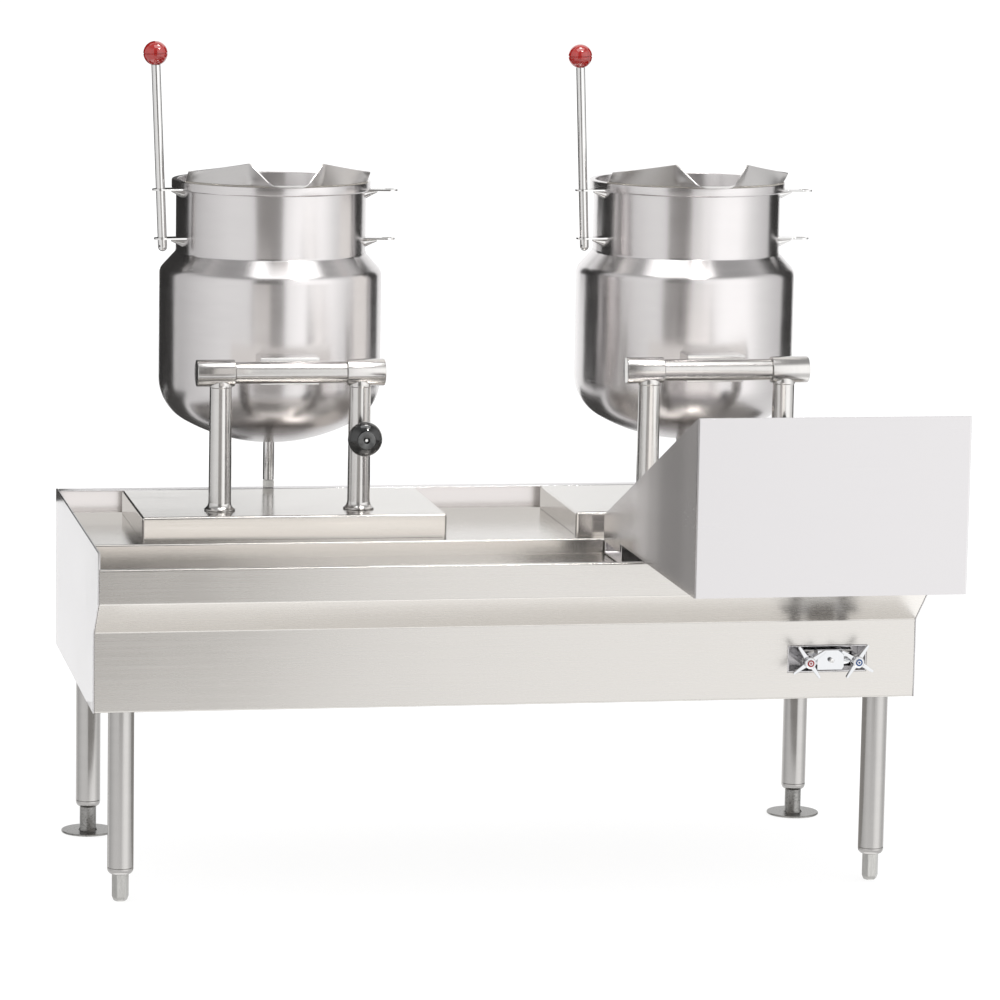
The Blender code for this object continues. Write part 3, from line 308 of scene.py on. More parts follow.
def startMaterial(name):
    material = bpy.data.materials.new(name)
    material.use_nodes = True
    return material, material.node_tree, material.node_tree.nodes["Principled BSDF"]


def steelFinish(name, colour, roughness, grain, streaks, contrast, cloud=0.05, bump=0.15, anisotropy=0.0,
                waves=0.0):
    # grain is "turned" for work brushed round its axis, or the axis that a flat sheet is brushed along;
    # streaks are a width and a length in mm
    material, tree, shader = startMaterial(name)
    across, along = (1000.0 / size for size in streaks)
    body = addNode(tree, "ShaderNodeTexCoord").outputs["Object"]
    source = body
    scale = tuple(along if axis == grain else across for axis in "xyz")
    if grain == "turned":
        source = addNode(tree, "ShaderNodeUVMap", uv_map="grainMap")
        scale = (along, across, 1.0)
    spread = addNode(tree, "ShaderNodeMapping", {"Scale": scale, "Vector": source})
    fineNoise = {"Scale": 1.0, "Detail": 4.0, "Roughness": 0.65, "Vector": spread}
    softNoise = {"Scale": 9.0, "Detail": 3.0, "Roughness": 0.5, "Vector": body}
    fine = addNode(tree, "ShaderNodeTexNoise", fineNoise)
    soft = addNode(tree, "ShaderNodeTexNoise", softNoise)
    mixed = addNode(tree, "ShaderNodeMix", {"Factor": 0.35, "A": fine, "B": soft}, data_type="FLOAT")
    base = hexColour(colour)[:3]
    light = tuple(min(1.0, v * (1 + contrast)) for v in base) + (1.0,)
    dark = tuple(v * (1 - contrast) for v in base) + (1.0,)
    ramp = addNode(tree, "ShaderNodeValToRGB", {"Fac": mixed})
    fillRamp(ramp, ((0.30, dark), (0.70, light)))
    shine = {"From Min": 0.3, "From Max": 0.7, "To Min": roughness - cloud, "To Max": roughness + cloud}
    rough = addNode(tree, "ShaderNodeMapRange", {"Value": mixed, **shine})
    relief = {"Strength": bump, "Distance": 0.0001, "Height": fine}
    bumped = addNode(tree, "ShaderNodeBump", relief)
    if waves:
        slowNoise = {"Scale": 11.0, "Detail": 1.0, "Vector": body}
        slow = addNode(tree, "ShaderNodeTexNoise", slowNoise)
        relief = {"Strength": 1.0, "Distance": waves, "Height": slow, "Normal": bumped}
        bumped = addNode(tree, "ShaderNodeBump", relief)
    setInputs(tree, shader, {"Base Color": ramp, "Roughness": rough, "Normal": bumped, "Metallic": 1.0})
    if anisotropy:
        tangent = addNode(tree, "ShaderNodeTangent", direction_type="UV_MAP", uv_map="grainMap")
        setInputs(tree, shader, {"Anisotropic": anisotropy, "Anisotropic Rotation": 0.25, "Tangent": tangent})
    return material


def plasticFinish(name, colour, roughness, speckle, coat=0.0, bump=0.05, scale=900.0):
    material, tree, shader = startMaterial(name)
    body = addNode(tree, "ShaderNodeTexCoord").outputs["Object"]
    cloud = addNode(tree, "ShaderNodeTexNoise", {"Scale": 120.0, "Detail": 4.0, "Vector": body})
    grit = addNode(tree, "ShaderNodeTexNoise", {"Scale": scale, "Detail": 2.0, "Vector": body})
    base = hexColour(colour)[:3]
    dark = tuple(v * (1 - speckle) for v in base) + (1.0,)
    light = tuple(min(1.0, v * (1 + speckle) + 0.004 * speckle) for v in base) + (1.0,)
    ramp = addNode(tree, "ShaderNodeValToRGB", {"Fac": cloud})
    fillRamp(ramp, ((0.35, dark), (0.65, light)))
    shine = {"From Min": 0.3, "From Max": 0.7, "To Min": roughness * 0.7, "To Max": roughness * 1.4}
    rough = addNode(tree, "ShaderNodeMapRange", {"Value": cloud, **shine})
    relief = {"Strength": bump, "Distance": 0.0002, "Height": grit}
    bumped = addNode(tree, "ShaderNodeBump", relief)
    setInputs(tree, shader, {"Base Color": ramp, "Roughness": rough, "Normal": bumped, "IOR": 1.52,
                             "Coat Weight": coat, "Coat Roughness": 0.03})
    return material


# the real grit leaves lines of about 0.1 mm, drawn 2 to 4 mm wide so that they show at this size;
# after the streaks come contrast, cloud and bump, then for round work anisotropy and waves

# 304 stainless spun and brushed round: long soft vertical reflections
kettleSteel = steelFinish("brushedStainlessKettle", "#cfcccc", 0.25, "turned", (3.0, 160.0), 0.035, 0.03,
                          0.10, 0.70, 0.0007)
# 304 sheet with a No. 4 polish along its length: blurred warm reflections
sheetSteel = steelFinish("brushedStainlessSheet", "#cbc8c4", 0.27, "x", (3.0, 300.0), 0.02, 0.04, 0.05)
# the same sheet on the wet top, polished finer: clear soft reflections
deckSteel = steelFinish("polishedStainlessDeck", "#cbc8c4", 0.19, "x", (2.6, 200.0), 0.02, 0.04, 0.04)
# mill-polished leg tube, softer than the posts: the posts' steel made darker, which paints the shade the legs
# stand in under the stand
shadedLegSteel = steelFinish("shadedStainlessLeg", "#b2b0ae", 0.20, "turned", (2.2, 70.0), 0.04, 0.04, 0.06)
# 304 sheet with a fine satin polish: pale and even
satinSteel = steelFinish("satinStainlessSheet", "#cbc9ca", 0.25, "x", (2.6, 260.0), 0.018, 0.03, 0.08)
# polished stainless tube: clear upright bands
tubeSteel = steelFinish("brushedStainlessTube", "#cbc9c7", 0.20, "turned", (2.2, 70.0), 0.04, 0.04, 0.08, 0.3)
# buffed bar and welded plate: small sharp highlights
buffedSteel = steelFinish("buffedStainlessRod", "#d6d5d4", 0.12, "turned", (1.5, 40.0), 0.05, 0.04, 0.08)
# sheared sheet, brushed before it was welded on: flat and even grey
lipSteel = steelFinish("brushedStainlessLip", "#c4c2c1", 0.33, "x", (2.0, 120.0), 0.03)
# chrome over cast brass: mirror bright
chromePlate = steelFinish("chromePlatedBrass", "#d0d1d3", 0.05, "z", (2.0, 30.0), 0.02, 0.02, 0.03)
# tumbled plate steel: mottled grey
flangeSteel = steelFinish("tumbledSteelFlange", "#8b8a88", 0.32, "x", (3.4, 3.4), 0.55, 0.12, 0.8)
# cast bullet foot, shot blasted: pale grey with soft streaks
footSteel = steelFinish("mattStainlessFoot", "#b3b2af", 0.22, "z", (2.0, 14.0), 0.16, 0.06, 0.3)
# wire-brushed weld: warm grey ripples
weldSteel = steelFinish("brushedWeldBead", "#b9b5ae", 0.30, "x", (1.5, 3.0), 0.15, 0.08)
# moulded phenolic ball: deep gloss
redPhenolic = plasticFinish("mouldedRedPhenolic", "#9e1a16", 0.08, 0.10, 1.0)
# moulded knob: dark, clear gloss
blackPhenolic = plasticFinish("mouldedBlackPhenolic", "#101111", 0.14, 0.25, 0.6)
# sanded knob face: mottled grey
greyPhenolic = plasticFinish("texturedKnobFace", "#5c5d5d", 0.50, 0.40, 0.0, 0.5, 700.0)
# turned nylon pad: waxy white
whiteNylon = plasticFinish("turnedWhiteNylon", "#e9e8e4", 0.45, 0.03)

button = {"radius": 0.0056, "side": 0.0008, "edge": 0.0012, "top": 0.00125, "centre": 0.30,
          "ring": (0.52, 0.92)}


def indexFinish(name, colour, node):
    # a printed plastic button: a coloured ring and centre on a white ground
    material, tree, shader = startMaterial(name)
    body = addNode(tree, "ShaderNodeTexCoord").outputs["Object"]
    offset = addNode(tree, "ShaderNodeVectorMath", {0: body, 1: boxMiddle(node)}, operation="SUBTRACT")
    flat = addNode(tree, "ShaderNodeVectorMath", {0: offset, 1: (1, 0, 1)}, operation="MULTIPLY")
    reach = addNode(tree, "ShaderNodeVectorMath", {0: flat}, operation="LENGTH").outputs["Value"]
    share = addNode(tree, "ShaderNodeMath", {0: reach, 1: button["radius"]}, operation="DIVIDE")
    ramp = addNode(tree, "ShaderNodeValToRGB", {"Fac": share})
    ramp.color_ramp.interpolation = "CONSTANT"
    paint, ground = hexColour(colour), hexColour("#f4f4f4")
    inner, outer = button["ring"]
    fillRamp(ramp, ((0.0, paint), (button["centre"], ground), (inner, paint), (outer, ground)))
    grit = addNode(tree, "ShaderNodeTexNoise", {"Scale": 700.0, "Vector": body})
    rough = addNode(tree, "ShaderNodeMapRange", {"To Min": 0.12, "To Max": 0.28, "Value": grit})
    setInputs(tree, shader, {"Base Color": ramp, "Roughness": rough, "IOR": 1.5})
    return material


hotPrint = indexFinish("printedRedButton", "#930c1a", "hot_index_button")
coldPrint = indexFinish("printedBlueButton", "#0e4a84", "cold_index_button")
print("finishes made")


# weld beads along a line, by a node tree

weld = {"spacing": 0.0022, "width": 0.0026, "least": 0.8, "most": 1.15, "segments": 8, "rings": 5,
        "seed": 7}


def makeWeldTree():
    takes = {"Line": "Geometry", "Spacing": "Float", "Width": "Float", "Seed": "Int", "Finish": "Material"}
    tree, start = startTree("weldBead", takes)
    curve = addNode(tree, "GeometryNodeMeshToCurve", {0: start["Line"]})
    points = addNode(tree, "GeometryNodeCurveToPoints", {"Curve": curve, "Length": start["Spacing"]},
                     mode="LENGTH").outputs
    ball = {"Segments": weld["segments"], "Rings": weld["rings"], "Radius": 0.5}
    drop = addNode(tree, "GeometryNodeMeshUVSphere", ball)
    limits = {2: weld["least"], 3: weld["most"], "Seed": start["Seed"]}
    vary = addNode(tree, "FunctionNodeRandomValue", limits, data_type="FLOAT").outputs[1]
    wide = addNode(tree, "ShaderNodeMath", {0: start["Width"], 1: vary}, operation="MULTIPLY")
    size = addNode(tree, "ShaderNodeCombineXYZ", {0: wide, 1: wide, 2: wide})
    beads = {"Points": points["Points"], "Instance": drop, "Rotation": points["Rotation"], "Scale": size}
    put = addNode(tree, "GeometryNodeInstanceOnPoints", beads)
    return endTree(tree, put, start["Finish"])


weldTree = makeWeldTree()


def weldAlong(name, line, body, seed):
    thing = linkLine(name, [tuple(p) for p in line])
    runTree(thing, weldTree, {"Spacing": weld["spacing"], "Width": weld["width"], "Seed": seed,
                              "Finish": weldSteel})
    thing.data.shade_smooth()
    finishPiece(thing, weldSteel, body, ())


# kettles

shell = {"jacketRadius": 0.1711, "jacketCrown": 0.270, "jacketKnuckle": 0.072, "wallTop": 0.2665,
         "shoulderRise": 0.0275, "shoulderBend": 0.0075, "footBend": 0.0022, "neckRadius": 0.1459,
         "neckHeight": 0.097, "rimReach": 0.0069, "rimHeight": 0.0147, "rimRound": 0.0022, "edgeRound": 0.001,
         "bowlCrown": 0.230, "bowlKnuckle": 0.058, "steamSpace": 0.022, "sheet": 0.002, "steps": 144,
         "sharp": 50.0}
neckStart = shell["wallTop"] + shell["shoulderRise"]
bandStart = neckStart + shell["neckHeight"]
rimTop = bandStart + shell["rimHeight"]
bandRadius = shell["neckRadius"] + shell["rimReach"]


def jacketProfile():
    wall, thin, top = shell["jacketRadius"], shell["sheet"], shell["wallTop"]
    crown, knuckle = shell["jacketCrown"], shell["jacketKnuckle"]
    neck = shell["neckRadius"] + 0.0002
    far = 0.1  # only the direction of these points counts
    outer = dishedEnd(wall, crown, knuckle, 0.0, 16, 16)
    bend = roundCorner((wall, top - far), (wall, top), (neck, neckStart), shell["shoulderBend"], 8)
    foot = roundCorner((wall, top), (neck, neckStart), (neck, neckStart + far), shell["footBend"], 4)
    inside = dishedEnd(wall - thin, crown - thin, knuckle - thin, thin, 8, 8)
    closing = [(neck, neckStart - 1.4 * thin), (wall - thin, top - 0.6 * thin)]
    return outer + bend + foot + closing + inside[::-1]


def bowlProfile():
    neck, thin, curl, edge = shell["neckRadius"], shell["sheet"], shell["rimRound"], shell["edgeRound"]
    crown, knuckle, bottom = shell["bowlCrown"], shell["bowlKnuckle"], shell["steamSpace"]
    outer = dishedEnd(neck, crown, knuckle, bottom, 8, 8)
    low = [(neck, bandStart)] + arcPoints(bandRadius - curl, bandStart + curl, curl, -90, 0, 4)
    high = arcPoints(bandRadius - curl, rimTop - curl, curl, 0, 90, 4)
    lipIn = arcPoints(neck - thin + edge, rimTop - edge, edge, 90, 180, 3)
    inside = dishedEnd(neck - thin, crown - thin, knuckle - thin, bottom + thin, 14, 14)
    return outer + low + high + lipIn + inside[::-1]


lip = {"sheet": 0.0018, "inset": 0.0012, "endAngle": 67.0, "peakAngle": 22.0,
       "end": (0.1397, -0.0873, 0.0167), "peak": (0.0566, -0.1604, 0.0354), "spout": (0.026, -0.1965, 0.0022),
       "corner": 0.012, "rows": 6, "edge": 0.0004, "weldOut": 0.0006, "weldUp": 0.0002}


def lipColumns():
    # half of the butterfly lip: pairs of points on the rim and on the free edge
    radius = bandRadius - lip["inset"]

    def onRim(angle):
        return Vector((radius * sin(angle), -radius * cos(angle), 0.0))

    end, peak, corner = Vector(lip["end"]), Vector(lip["peak"]), Vector(lip["spout"])
    middle = Vector((0.0, corner.y, corner.z))
    endAngle, peakAngle = radians(lip["endAngle"]), radians(lip["peakAngle"])
    cornerAngle = asin(corner.x / radius)
    pairs = [(onRim(endAngle + (peakAngle - endAngle) * i / 28), end.lerp(peak, i / 28)) for i in range(29)]
    rise = corner + (peak - corner).normalized() * lip["corner"]
    run = corner + (middle - corner).normalized() * lip["corner"]
    free = [peak.lerp(rise, i / 6) for i in range(1, 7)]
    free += [rise.lerp(corner, i / 8).lerp(corner.lerp(run, i / 8), i / 8) for i in range(1, 9)]
    for i, point in enumerate(free, 1):
        pairs.append((onRim(peakAngle + (cornerAngle - peakAngle) * min(i / 10, 1.0)), point))
    pairs.append((onRim(cornerAngle * 0.5), run.lerp(middle, 0.5)))
    pairs.append((onRim(0.0), middle))
    return pairs


def makeLip(name, matrix):
    half = lipColumns()
    whole = half + [(Vector((-a.x, a.y, a.z)), Vector((-b.x, b.y, b.z))) for a, b in half[-2::-1]]
    work = bmesh.new()
    rows = lip["rows"]
    lines = [[work.verts.new(a.lerp(b, j / rows)) for j in range(rows + 1)] for a, b in whole]
    for one, two in zip(lines, lines[1:]):
        for j in range(rows):
            work.faces.new((one[j], one[j + 1], two[j + 1], two[j]))
    thing = linkWork(name, work)
    wall = thing.modifiers.new("sheet", "SOLIDIFY")
    wall.thickness = lip["sheet"]
    wall.offset = -1.0
    wall.use_even_offset = True
    bakeShape(thing)
    cleanMesh(thing, allSmooth, matrix)
    return softenEdges(thing, lip["edge"], angle=50.0), [a for a, b in whole]


tab = {"thickness": 0.0025, "forward": 14.8, "endRadius": 0.0125, "rootHalf": 0.016, "belowRim": 0.0123,
       "spacing": 0.0748, "holeReach": 0.1792, "hole": 0.0075, "edge": 0.0005, "bossRoot": 0.0072,
       "bossTip": 0.0014, "bossLength": 0.019, "bossTilt": {"upper": 0.20, "lower": 0.17}}
lever = {"radius": 0.0069, "lean": 2.6, "tipDrop": 0.0195, "length": 0.2817, "ball": 0.0185, "groove": 0.0009,
         "grooveHalf": 0.0004, "grooveAngle": 3.0, "pinHole": 0.0016, "pinRise": 0.0085, "pinTurn": 0.5}
rest = {"rodEdge": 0.0006, "padEdge": 0.0012}


def makeTab(name, matrix, rootRadius, holeReach, level):
    # a plate with a round end and a hole, and a tapered boss welded under its root
    half = tab["thickness"] / 2
    spread = degrees(asin(tab["rootHalf"] / rootRadius))
    outline = arcPoints(0, 0, rootRadius, spread, -spread, 8)
    outline += arcPoints(holeReach, 0, tab["endRadius"], -80, 80, 16)
    plate = slab(name, outline, -half, half)
    wide, tip, long = tab["bossRoot"], tab["bossTip"], tab["bossLength"]
    profile = [(0, 0), (wide, 0), (wide * 0.78, 0.005), (wide * 0.5, 0.011), (tip, long), (0, long)]
    turn = (0, quarter - tab["bossTilt"][level], 0)
    place = placed((shell["neckRadius"] - 0.0005, 0, -half - wide * 0.75), turn)
    joinShape(plate, turned(name + "_boss", profile, buffedSteel, 24, place), "UNION")
    profile = chamfered(tab["hole"], -drillHalf, drillHalf, 0.0001)
    drill = turned(name + "_drill", profile, buffedSteel, 32, placed((holeReach, 0, 0)))
    joinShape(plate, drill, "DIFFERENCE")
    cleanMesh(plate, allSmooth, matrix)
    return softenEdges(plate, tab["edge"], angle=40.0)


def ballProfile():
    # flat where the rod enters, with the mould's groove at its widest
    radius, gap, half = lever["ball"], lever["grooveAngle"], lever["grooveHalf"]
    start = degrees(asin(lever["radius"] / radius)) - 90
    lower = arcPoints(0, 0, radius, start, -gap, 16)
    upper = arcPoints(0, 0, radius, gap, 90, 18)
    deep = radius - lever["groove"]
    return [(0, lower[0][1])] + lower + [(deep, -half), (deep, half)] + upper


def buildKettle(number):
    prefix = f"kettle_{number}_"
    body, leverBody = f"kettle_{number}", f"lever_{number}"
    base = boxMiddle(prefix + "jacket")
    base.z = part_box(prefix + "jacket")[0].z
    centre = placed(base)
    turnedPiece(prefix + "jacketShell", jacketProfile(), kettleSteel, shell["steps"], centre,
                body, (prefix + "jacket",), "brushed_stainless", sharp=shell["sharp"])
    turnedPiece(prefix + "bowlShell", bowlProfile(), kettleSteel, shell["steps"], centre,
                body, (prefix + "bowl",), "brushed_stainless", sharp=shell["sharp"])
    lipAt = placed(base + Vector((0, 0, rimTop + smallGap)))
    pour, rim = makeLip(prefix + "pouringLip", lipAt)
    finishPiece(pour, lipSteel, body, (prefix + "pour_lip",))
    rise = Vector((0, 0, lip["weldUp"]))
    seam = [lipAt @ (p + Vector((p.x, p.y, 0)).normalized() * lip["weldOut"] + rise) for p in rim]
    weldAlong(prefix + "lipWeld", seam, body, weld["seed"] + number)
    reach = tab["holeReach"]
    upper = rimTop - tab["belowRim"]
    lower = upper - tab["spacing"]
    lean = radians(lever["lean"])
    levels = {"upper": (upper, bandRadius, reach + tab["spacing"] * tan(lean)),
              "lower": (lower, shell["neckRadius"], reach)}
    headings = {"left": pi + radians(tab["forward"]), "right": -radians(tab["forward"])}
    for side, heading in headings.items():
        for level, (height, rootRadius, holeReach) in levels.items():
            place = centre @ placed((0, 0, height), (0, 0, heading))
            plate = makeTab(f"{prefix}leverTab_{level}_{side}", place, rootRadius, holeReach, level)
            finishPiece(plate, buffedSteel, body, (f"{prefix}tab_{level}_{side}",))
    outward = Vector((cos(headings["left"]), sin(headings["left"]), 0.0))
    line = Vector((0, 0, 1)) * cos(lean) + outward * sin(lean)
    foot = base + outward * reach + Vector((0, 0, lower))
    swing = placed(foot) @ line.to_track_quat("Z", "Y").to_matrix().to_4x4()
    radius, drop = lever["radius"], lever["tipDrop"]
    seat = lever["length"] - sqrt(lever["ball"] ** 2 - radius ** 2) - smallGap
    profile = arcPoints(0, radius - drop, radius, -90, 0, 10) + [(radius, seat), (0, seat)]
    rod = turned(prefix + "leverBar", profile, buffedSteel, 40, swing)
    pin = swing @ placed((0, 0, lever["pinRise"] - drop), (quarter, 0, lever["pinTurn"]))
    profile = chamfered(lever["pinHole"], -drillHalf, drillHalf, 0.0002)
    drill = turned("pinHole", profile, buffedSteel, 20, pin)
    joinShape(rod, drill, "DIFFERENCE")
    cleanMesh(rod)
    finishPiece(rod, buffedSteel, leverBody, (prefix + "lever_rod",))
    turnedPiece(prefix + "leverKnob", ballProfile(), redPhenolic, 64, swing @ placed((0, 0, lever["length"])),
                leverBody, (prefix + "lever_ball",), "red_ball_plastic")
    low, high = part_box(prefix + "rest_rod")
    middle = (low + high) / 2
    axis = placed((middle.x, middle.y, 0))
    profile = chamfered((high.x - low.x) / 2, low.z, high.z + smallGap, rest["rodEdge"])
    turnedPiece(prefix + "restPeg", profile, buffedSteel, 40, axis, body, (prefix + "rest_rod",),
                "polished_stainless")
    low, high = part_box(prefix + "rest_pad")
    profile = chamfered((high.x - low.x) / 2, low.z, high.z, rest["padEdge"])
    turnedPiece(prefix + "restBuffer", profile, whiteNylon, 40, axis, body, (prefix + "rest_pad",),
                "white_nylon")
    print("kettle", number, "made")


for number in (1, 2):
    buildKettle(number)


# tilting tubes, posts and steam valves

yoke = {"tube": 0.0164, "journal": 0.0150, "sleeve": 0.0202, "sleeveOut": 0.0372, "sleeveIn": 0.0205,
        "endWall": 0.003, "postSpacing": 0.2106, "post": 0.0164, "flare": 0.0235, "height": 0.2068,
        "flareThick": 0.002, "flareEdge": 0.0006, "edge": 0.0008, "play": 0.0005, "boreGap": 0.0004,
        "boreOver": 0.01, "boreEdge": 0.0003, "steps": 56}
valve = {"height": 0.1125, "boss": 0.0135, "bossReach": 0.022, "bossEdge": 0.0012, "bonnet": 0.0105,
         "nut": 0.0125, "spindle": 0.0055, "length": 0.029, "knob": 0.026, "knobThick": 0.019,
         "face": 0.0136, "hole": 0.005, "screw": 0.0026}


def postProfile():
    # a flared base, a straight pipe and the swell under the tee
    post, flare, top = yoke["post"], yoke["flare"], yoke["height"]
    edge, thick = yoke["flareEdge"], yoke["flareThick"]
    under = top - yoke["sleeve"]
    base = [(0, 0), (flare - edge, 0), (flare, edge), (flare, thick)]
    sweep = roundCorner((flare, thick), (post + 0.0012, 0.0062), (post, 0.02), 0.0055, 6)
    swell = [(post, under - 0.0020), (post + 0.0011, under - 0.0008), (post + 0.0013, under + 0.004),
             (post, under + 0.006), (post, top), (0, top)]
    return base + sweep + swell


def sleeveProfile():
    # a domed outer end and a plain inner one
    wide, edge, out, inward = yoke["sleeve"], yoke["edge"], -yoke["sleeveOut"], yoke["sleeveIn"]
    return [(0, out), (wide - 0.0022, out), (wide - 0.0005, out + 0.0006), (wide, out + 0.0016),
            (wide, inward - edge), (wide - edge, inward), (0, inward)]


def buildPost(name, side, sign, middle, node):
    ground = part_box("platform_1")[1].z
    x, y = middle.x + sign * yoke["postSpacing"] / 2, middle.y
    post = turned(name, postProfile(), tubeSteel, yoke["steps"], placed((x, y, ground + smallGap)))
    across = placed((x, y, middle.z), (0, -sign * quarter, 0))
    joinShape(post, turned("sleeve", sleeveProfile(), tubeSteel, yoke["steps"], across), "UNION")
    if side == "right":
        profile = chamfered(valve["boss"], 0, valve["bossReach"], valve["bossEdge"])
        place = placed((x, y, ground + valve["height"]), facing)
        joinShape(post, turned("boss", profile, tubeSteel, 40, place), "UNION")
    profile = chamfered(yoke["journal"] + yoke["boreGap"], yoke["endWall"] - yoke["sleeveOut"],
                        yoke["sleeveIn"] + yoke["boreOver"], yoke["boreEdge"])
    joinShape(post, turned("bore", profile, tubeSteel, yoke["steps"], across), "DIFFERENCE")
    cleanMesh(post, 40.0)
    finishPiece(post, tubeSteel, "root", (node,))


def knobProfile():
    # a thick rounded wheel with a flat front and a hole for the screw
    wide, thick, hub, hole = valve["knob"], valve["knobThick"], valve["face"], valve["hole"]
    edge, shoulder = (wide, thick * 0.26), (wide * 0.86, thick * 0.66)
    profile = [(0, 0)] + roundCorner((0, 0), (wide, 0), edge, 0.0025, 5)
    profile += roundCorner((wide, 0), edge, shoulder, 0.0030, 6)
    profile += roundCorner(edge, shoulder, (hub, thick * 0.95), 0.0050, 6)
    profile += roundCorner(shoulder, (hub + 0.0006, thick * 0.96), (hole, thick * 0.965), 0.0012, 4)
    return profile + [(hole, thick * 0.965), (hole, thick * 0.55), (0, thick * 0.55)]


def buildYoke(number):
    prefix = f"kettle_{number}_"
    middle = boxMiddle(prefix + "trunnion_tube")
    tube, journal, edge, half = yoke["tube"], yoke["journal"], yoke["edge"], yoke["postSpacing"] / 2
    inner = half - yoke["sleeveIn"] - yoke["play"]
    end = half + yoke["sleeveOut"] - yoke["endWall"] - yoke["play"]
    profile = [(0, -end), (journal, -end), (journal, -inner), (tube - edge, -inner), (tube, edge - inner),
               (tube, inner - edge), (tube - edge, inner), (journal, inner), (journal, end), (0, end)]
    turnedPiece(prefix + "tiltingTube", profile, tubeSteel, yoke["steps"], placed(middle, (0, quarter, 0)),
                f"kettle_{number}", (prefix + "trunnion_tube",), "brushed_stainless")
    for side, sign in (("left", -1), ("right", 1)):
        buildPost(f"{prefix}post_{side}Tee", side, sign, middle, f"{prefix}post_{side}")
    spot = boxMiddle(prefix + "valve_bonnet")
    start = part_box(prefix + "valve_bonnet")[1].y
    place = placed((spot.x, start, spot.z), facing)
    bonnet, nut, spindle, length = valve["bonnet"], valve["nut"], valve["spindle"], valve["length"]
    nutEnd = length * 0.55
    profile = [(0, 0), (nut - edge, 0), (nut, edge), (nut, nutEnd * 0.6), (bonnet, nutEnd * 0.7),
               (bonnet, nutEnd - 0.001), (bonnet - 0.001, nutEnd), (spindle, nutEnd + 0.002),
               (spindle, length), (0, length)]
    turnedPiece(prefix + "valveNeck", profile, buffedSteel, 40, place, "root", (prefix + "valve_bonnet",),
                "polished_stainless")
    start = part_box(prefix + "valve_knob")[1].y
    place = placed((spot.x, start, spot.z), facing)
    knobBody = f"steam_knob_{number}"
    turnedPiece(prefix + "steamKnob", knobProfile(), blackPhenolic, 72, place, knobBody,
                (prefix + "valve_knob",), "black_knob_plastic")
    inside, outside = valve["hole"] + 0.0002, valve["face"] - smallGap
    thick = valve["knobThick"]
    ring = [(inside, thick * 0.962), (outside, thick * 0.962), (outside, thick - smallGap),
            (outside - 0.0005, thick), (inside + 0.0006, thick), (inside, thick - 0.0004)]
    turnedPiece(prefix + "steamKnobFace", ring, greyPhenolic, 64, place, knobBody, (), "black_knob_plastic",
                closed=True)
    profile = chamfered(valve["screw"], thick * 0.53, thick * 0.90, 0.0005)
    turnedPiece(prefix + "knobScrew", profile, buffedSteel, 32, place, knobBody, (), "polished_stainless")
    print("yoke", number, "made")


for number in (1, 2):
    buildYoke(number)


# legs and feet

leg = {"radius": 0.019, "wall": 0.0018, "end": 0.041, "shoulder": 0.008, "line": 0.0006, "plug": 0.016,
       "stem": 0.0085, "stemUp": 0.050, "play": 0.0005}
footing = {"hexTop": 0.0124, "hexTaper": 0.0025, "collar": 0.0127, "flange": 0.041, "thick": 0.003,
           "edge": 0.0006, "hexEdge": 0.0008}


def hexProfile(top):
    wide, low = footing["hexTop"], footing["hexTop"] - footing["hexTaper"]
    return [(0, 0), (low - 0.0012, 0), (low + 0.0004, 0.0016), (wide, 3 * footing["hexTaper"]), (wide, top),
            (0, top)]


def flangeProfile(top):
    # a thin round plate, a flared collar and the stem that screws into the leg
    wide, thick, edge = footing["flange"], footing["thick"], footing["edge"]
    collar, stem, end = footing["collar"], leg["stem"], top + leg["stemUp"]
    plate = [(0, 0), (wide - edge, 0), (wide, edge), (wide, thick - edge), (wide - edge, thick)]
    neck = [(collar + 0.0022, thick), (collar + 0.0012, thick + 0.0016), (collar, thick + 0.0036),
            (collar, top - 0.001), (collar - 0.001, top)]
    return plate + neck + [(stem, top), (stem, end), (0, end)]


def buildLeg(row, side):
    node = f"leg_{row}_{side}"
    low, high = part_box(node)
    spot = (low + high) / 2
    axis = placed((spot.x, spot.y, 0))
    end, radius, shoulder, line = leg["end"], leg["radius"], leg["shoulder"], leg["line"]
    bore, inside, plug = leg["stem"] + leg["play"], radius - leg["wall"], end + leg["plug"]
    narrow = radius - 0.6 * shoulder
    turns = [quarter * i / 8 for i in range(9)]
    curve = [(narrow + (radius - narrow) * sin(t), end + shoulder * (1 - cos(t))) for t in turns]
    seam = end + shoulder + 2 * line
    profile = [(bore, end)] + curve + [(radius, seam - line), (radius - line, seam), (radius, seam + line),
                                       (radius, high.z), (inside, high.z), (inside, plug), (bore, plug)]
    # the leg tube takes the darker steel that paints the shade under the stand
    turnedPiece(node + "_tube", profile, shadedLegSteel, 64, axis, "root", (node,), "brushed_stainless",
                closed=True, sharp=30.0)
    foot = f"foot_{row}_{side}"
    top = end - leg["play"]
    if row == "rear":
        turnedPiece(foot + "_flange", flangeProfile(top), flangeSteel, 72, axis, foot, (foot,),
                    "satin_stainless")
        return
    bullet = turned(foot + "_hex", hexProfile(top), footSteel, 6, axis, sharp=20.0)
    stem = turned("stem", chamfered(leg["stem"], top / 2, top + leg["stemUp"], 0.0005), buffedSteel, 40, axis)
    joinShape(bullet, stem, "UNION")
    cleanMesh(bullet, allSmooth)
    softenEdges(bullet, footing["hexEdge"], steps=3, angle=25.0)
    finishPiece(bullet, footSteel, foot, (foot,))


for row in ("front", "rear"):
    for side in ("left", "right"):
        buildLeg(row, side)
print("legs and feet made")


# folded sheet work: each solid again with its sharp edges eased

folded = {"merge": 1e-5, "flatAngle": 0.6, "sharpAngle": 50.0}


